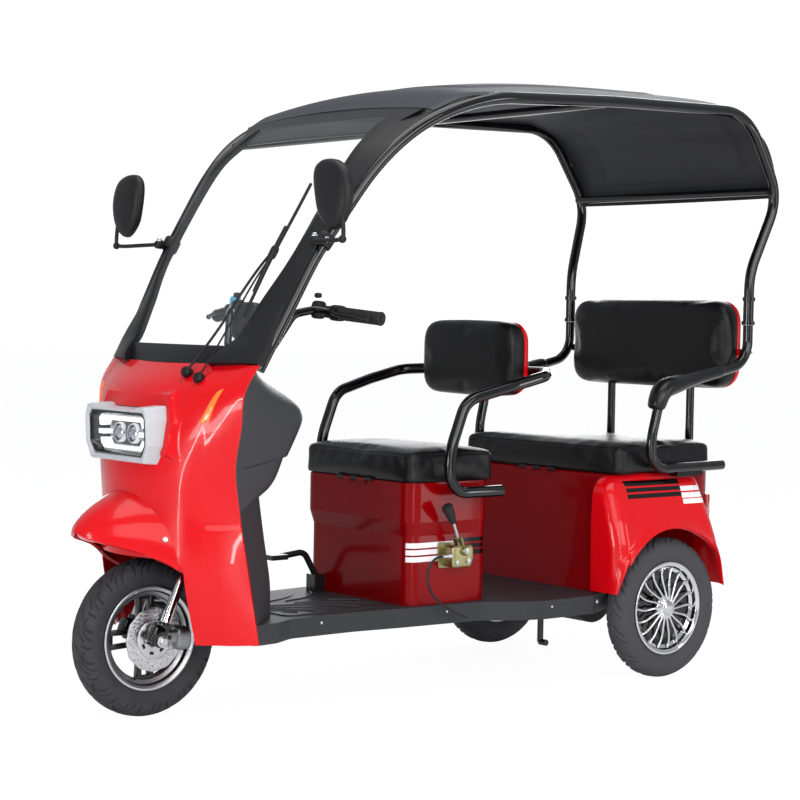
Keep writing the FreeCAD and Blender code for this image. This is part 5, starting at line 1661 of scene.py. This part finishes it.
def addParkingBrake():
    side = 228.3
    corners = [(-0.049, -0.033), (0.046, -0.035), (0.046, 0.030), (-0.049, 0.036)]
    plate = plateMesh(outlined([(*corner, 0.006) for corner in corners], 4),
                      [circle(0.004, 16, (-0.04, 0.0))], 0.005, 0.001,
                      facing(at(698, side + 3, 389), (0, 1, 0)))
    body = softBlock(at(697, side + 25, 388), (0.036, 0.024, 0.030), 9.0, 20, 40)
    ear = softBlock(facing(at(676, side + 40, 394), (0, 1, 0)), (0.020, 0.027, 0.013), 3.6)
    boss = turnedMesh([(0, 0.0), (0, 0.014), (0.012, 0.013), (0.016, 0.010), (0.017, 0.0)],
                      facing(at(690, side + 44, 404), (0, 1, 0)), 32, False)
    fork = [softBlock(facing(at(700, side + 36 + step, 424), (0.42, 0.1, 0.9)), (0.010, 0.003, 0.020), 5.0)
            for step in (-8, 8)]
    neck = turnedMesh([(0, 0.0), (0, 0.008), (0.010, 0.0075), (0.012, 0.0055), (0.030, 0.005),
                       (0.031, 0.0)], facing(at(733, side + 40, 392), (1, 0, -0.02)), 24, False)
    parts = joinMeshes([plate, body, ear, boss] + fork)
    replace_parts(addPiece("parkingBrakeCasting", parts, "zinc", "chassis", 40), "parking_brake")
    rod = tubeMesh([at(700, side + 36, 418), at(706, side + 38, 438), at(738, side + 48, 496)], 0.0045, 4,
                   2, 4)
    bolts = [boltMesh(at(x, side + y, z), (0, 1, 0), radius, height) for x, y, z, radius, height in
             ((678, 53, 376, 0.006, 0.005), (716, 49, 372, 0.005, 0.004), (690, 60, 404, 0.006, 0.005))]
    addPiece("parkingBrakeRod", joinMeshes([rod, neck] + bolts), "steel", "chassis", 40)
    knob = turnedMesh([(0, 0.0), (0, 0.0085), (0.003, 0.0095), (0.036, 0.0145), (0.052, 0.0165),
                       (0.056, 0.0155), (0.058, 0.012), (0.0585, 0.0)],
                      facing(at(731, side + 46, 484), (33, 9, 48)), 36, False)
    addPiece("parkingBrakeKnob", knob, "rubber", "chassis", 34)


ribLines = [
    # half of the deck's raised ribs: points (forward, across), widest half width
    ([(1216, 24), (1120, 40), (1020, 88), (960, 150)], 6),
    ([(1218, 60), (1150, 76), (1080, 118), (1040, 168)], 6),
    ([(1216, 96), (1176, 108), (1140, 136), (1120, 170)], 5),
    ([(1080, 20), (1000, 44), (930, 96), (900, 150)], 6),
    ([(960, 14), (920, 34), (892, 70)], 5),
    ([(1200, 132), (1184, 142), (1174, 164)], 4),
]
ribSection = [
    # across as a share of the half width, height
    (1, 257.4), (0.72, 260), (0.4, 260.8), (-0.4, 260.8), (-0.72, 260), (-1, 257.4),
]


def addDeckRibs():
    ribs = []
    for points, half in ribLines:
        line = smoothLine([(x, y, 0) for x, y in points], 9)
        rows = []
        for i, place in enumerate(line):
            t = i / (len(line) - 1)
            wide = half * (math.sin(math.pi * min(t * 0.94 + 0.03, 1)) ** 0.5)
            step = line[min(i + 1, len(line) - 1)] - line[max(i - 1, 0)]
            step /= np.linalg.norm(step)
            across = np.array([-step[1], step[0], 0])
            rows.append([at(*(place + across * wide * side + np.array([0, 0, high])))
                         for side, high in ribSection])
        ribs.append(loftMesh(rows))
    addPiece("deckRibs", bothSides(joinMeshes(ribs)), "floor", "chassis", 40)


def addBolts():
    bolts = [boltMesh(at(x, trackHalf * 1000 + 8, 608), (0, 0.1, 1), 0.005, 0.004) for x in (-150, -40)]
    bolts += [boltMesh(at(x, y, 236), (0, 1, 0), 0.004, 0.0035)
              for x, y in ((240, 343.5), (420, 343.5), (730, 250.7), (960, 229), (1140, 222.5))]
    addPiece("bodyBolts", bothSides(joinMeshes(bolts)), "steel", "chassis", 40)


addParkingBrake()
addDeckRibs()
addBolts()
print("fittings made")


# camera, floor and lights

view = {"place": (3.6343, 4.3533, 1.0478), "yaw": -129.358, "pitch": -2.453, "roll": 1.002, "lens": 89.2}
whiteStage = {"size": 40, "mirrored": 0.24, "strength": 1.06, "sky": 0.38}


def addCamera():
    data = bpy.data.cameras.new("camera")
    data.lens = view["lens"]
    data.sensor_width = 36
    camera = linked("camera", data)
    yaw, pitch, roll = (math.radians(view[key]) for key in ("yaw", "pitch", "roll"))
    forward = Vector((math.cos(pitch) * math.cos(yaw), math.cos(pitch) * math.sin(yaw), math.sin(pitch)))
    right = forward.cross(Vector((0, 0, 1))).normalized()
    up = right.cross(forward)
    across = right * math.cos(roll) + up * math.sin(roll)
    upright = up * math.cos(roll) - right * math.sin(roll)
    turn = Matrix((across, upright, -forward)).transposed().to_4x4()
    camera.matrix_world = Matrix.Translation(Vector(view["place"])) @ turn
    bpy.context.scene.camera = camera


def whiteToCamera(tree, shader, share, kind):
    # what the camera and mirrors see is lifted towards white, while the lighting stays plain
    path = addNode(tree, "ShaderNodeLightPath").outputs

    def maths(operation, first, second):
        return addNode(tree, "ShaderNodeMath", {"operation": operation}, {0: first, 1: second}).outputs[0]
    glossy = maths("MULTIPLY", path["Is Glossy Ray"], whiteStage["mirrored"])
    indirect = maths("MAXIMUM", glossy, path["Is Transmission Ray"])
    seen = maths("MAXIMUM", path["Is Camera Ray"], indirect)
    amount = maths("MULTIPLY", seen, share)
    plain = addNode(tree, kind, {}, {"Color": (1, 1, 1, 1), "Strength": whiteStage["strength"]})
    return addNode(tree, "ShaderNodeMixShader", {}, {0: amount, 1: shader, 2: plain.outputs[0]}).outputs[0]


def addStage():
    size = whiteStage["size"]
    corners = [(-size, -size, 0), (size, -size, 0), (size, size, 0), (-size, size, 0)]
    mesh = meshFrom(corners, [(0, 1, 2, 3)])
    floor = linked("floor", mesh)
    material = bpy.data.materials.new("paleFloor")
    material.use_nodes = True
    tree = material.node_tree
    surface = tree.nodes["Principled BSDF"]
    plain = {"Base Color": (0.9, 0.9, 0.9, 1), "Roughness": 0.9, "Specular IOR Level": 0.1}
    for key, value in plain.items():
        surface.inputs[key].default_value = value
    lifted = whiteToCamera(tree, surface.outputs[0], 0.9, "ShaderNodeEmission")
    tree.links.new(lifted, tree.nodes["Material Output"].inputs["Surface"])
    mesh.materials.append(material)
    world = bpy.data.worlds.new("studio")
    bpy.context.scene.world = world
    world.use_nodes = True
    tree = world.node_tree
    sky = tree.nodes["Background"]
    sky.inputs["Color"].default_value = (0.9, 0.93, 1.0, 1)
    sky.inputs["Strength"].default_value = whiteStage["sky"]
    lifted = whiteToCamera(tree, sky.outputs[0], 1.0, "ShaderNodeBackground")
    tree.links.new(lifted, tree.nodes["World Output"].inputs["Surface"])


lamps = [
    # name, place, aimed at, width, height, watts
    ["overhead", (0.4, 0.6, 4.6), (0, 0, 0.6), 3.6, 3.6, 120],
    ["key", (3.2, 4.6, 3.4), (0.3, 0, 0.8), 3.6, 3.6, 104],
    ["lowFront", (5.4, 0.9, 0.75), (0.9, 0, 0.6), 1.6, 0.9, 44],
    ["side", (0.2, 5.2, 2.2), (0, 0, 0.7), 2.6, 1.8, 70],
    ["frontStrip", (3.3, 0.5, 0.8), (0.9, 0, 0.8), 0.05, 1.5, 9],
    ["sideStrip", (1.2, 2.6, 0.78), (0.1, 0, 0.78), 0.06, 1.5, 11],
    ["rearStrip", (-1.9, 2.6, 0.78), (-0.5, 0, 0.78), 0.3, 1.5, 9],
    ["behind", (-3.3, -4.0, 1.05), (0, 0, 0.8), 5.5, 1.2, 60],
    ["rear", (-4.2, -2.8, 2.8), (-0.3, 0, 0.8), 2.4, 2.0, 60],
]


def addLamps():
    for name, place, aim, width, height, watts in lamps:
        data = bpy.data.lights.new(name, "AREA")
        data.shape = "RECTANGLE"
        data.size = width
        data.size_y = height
        data.energy = watts
        lamp = linked(name, data)
        lamp.location = place
        lamp.rotation_euler = (Vector(aim) - Vector(place)).to_track_quat("-Z", "Y").to_euler()
        lamp.visible_camera = False
        lamp.visible_transmission = False


addCamera()
addStage()
addLamps()
bpy.context.scene.view_settings.view_transform = "Standard"
print("camera, floor and lamps placed")
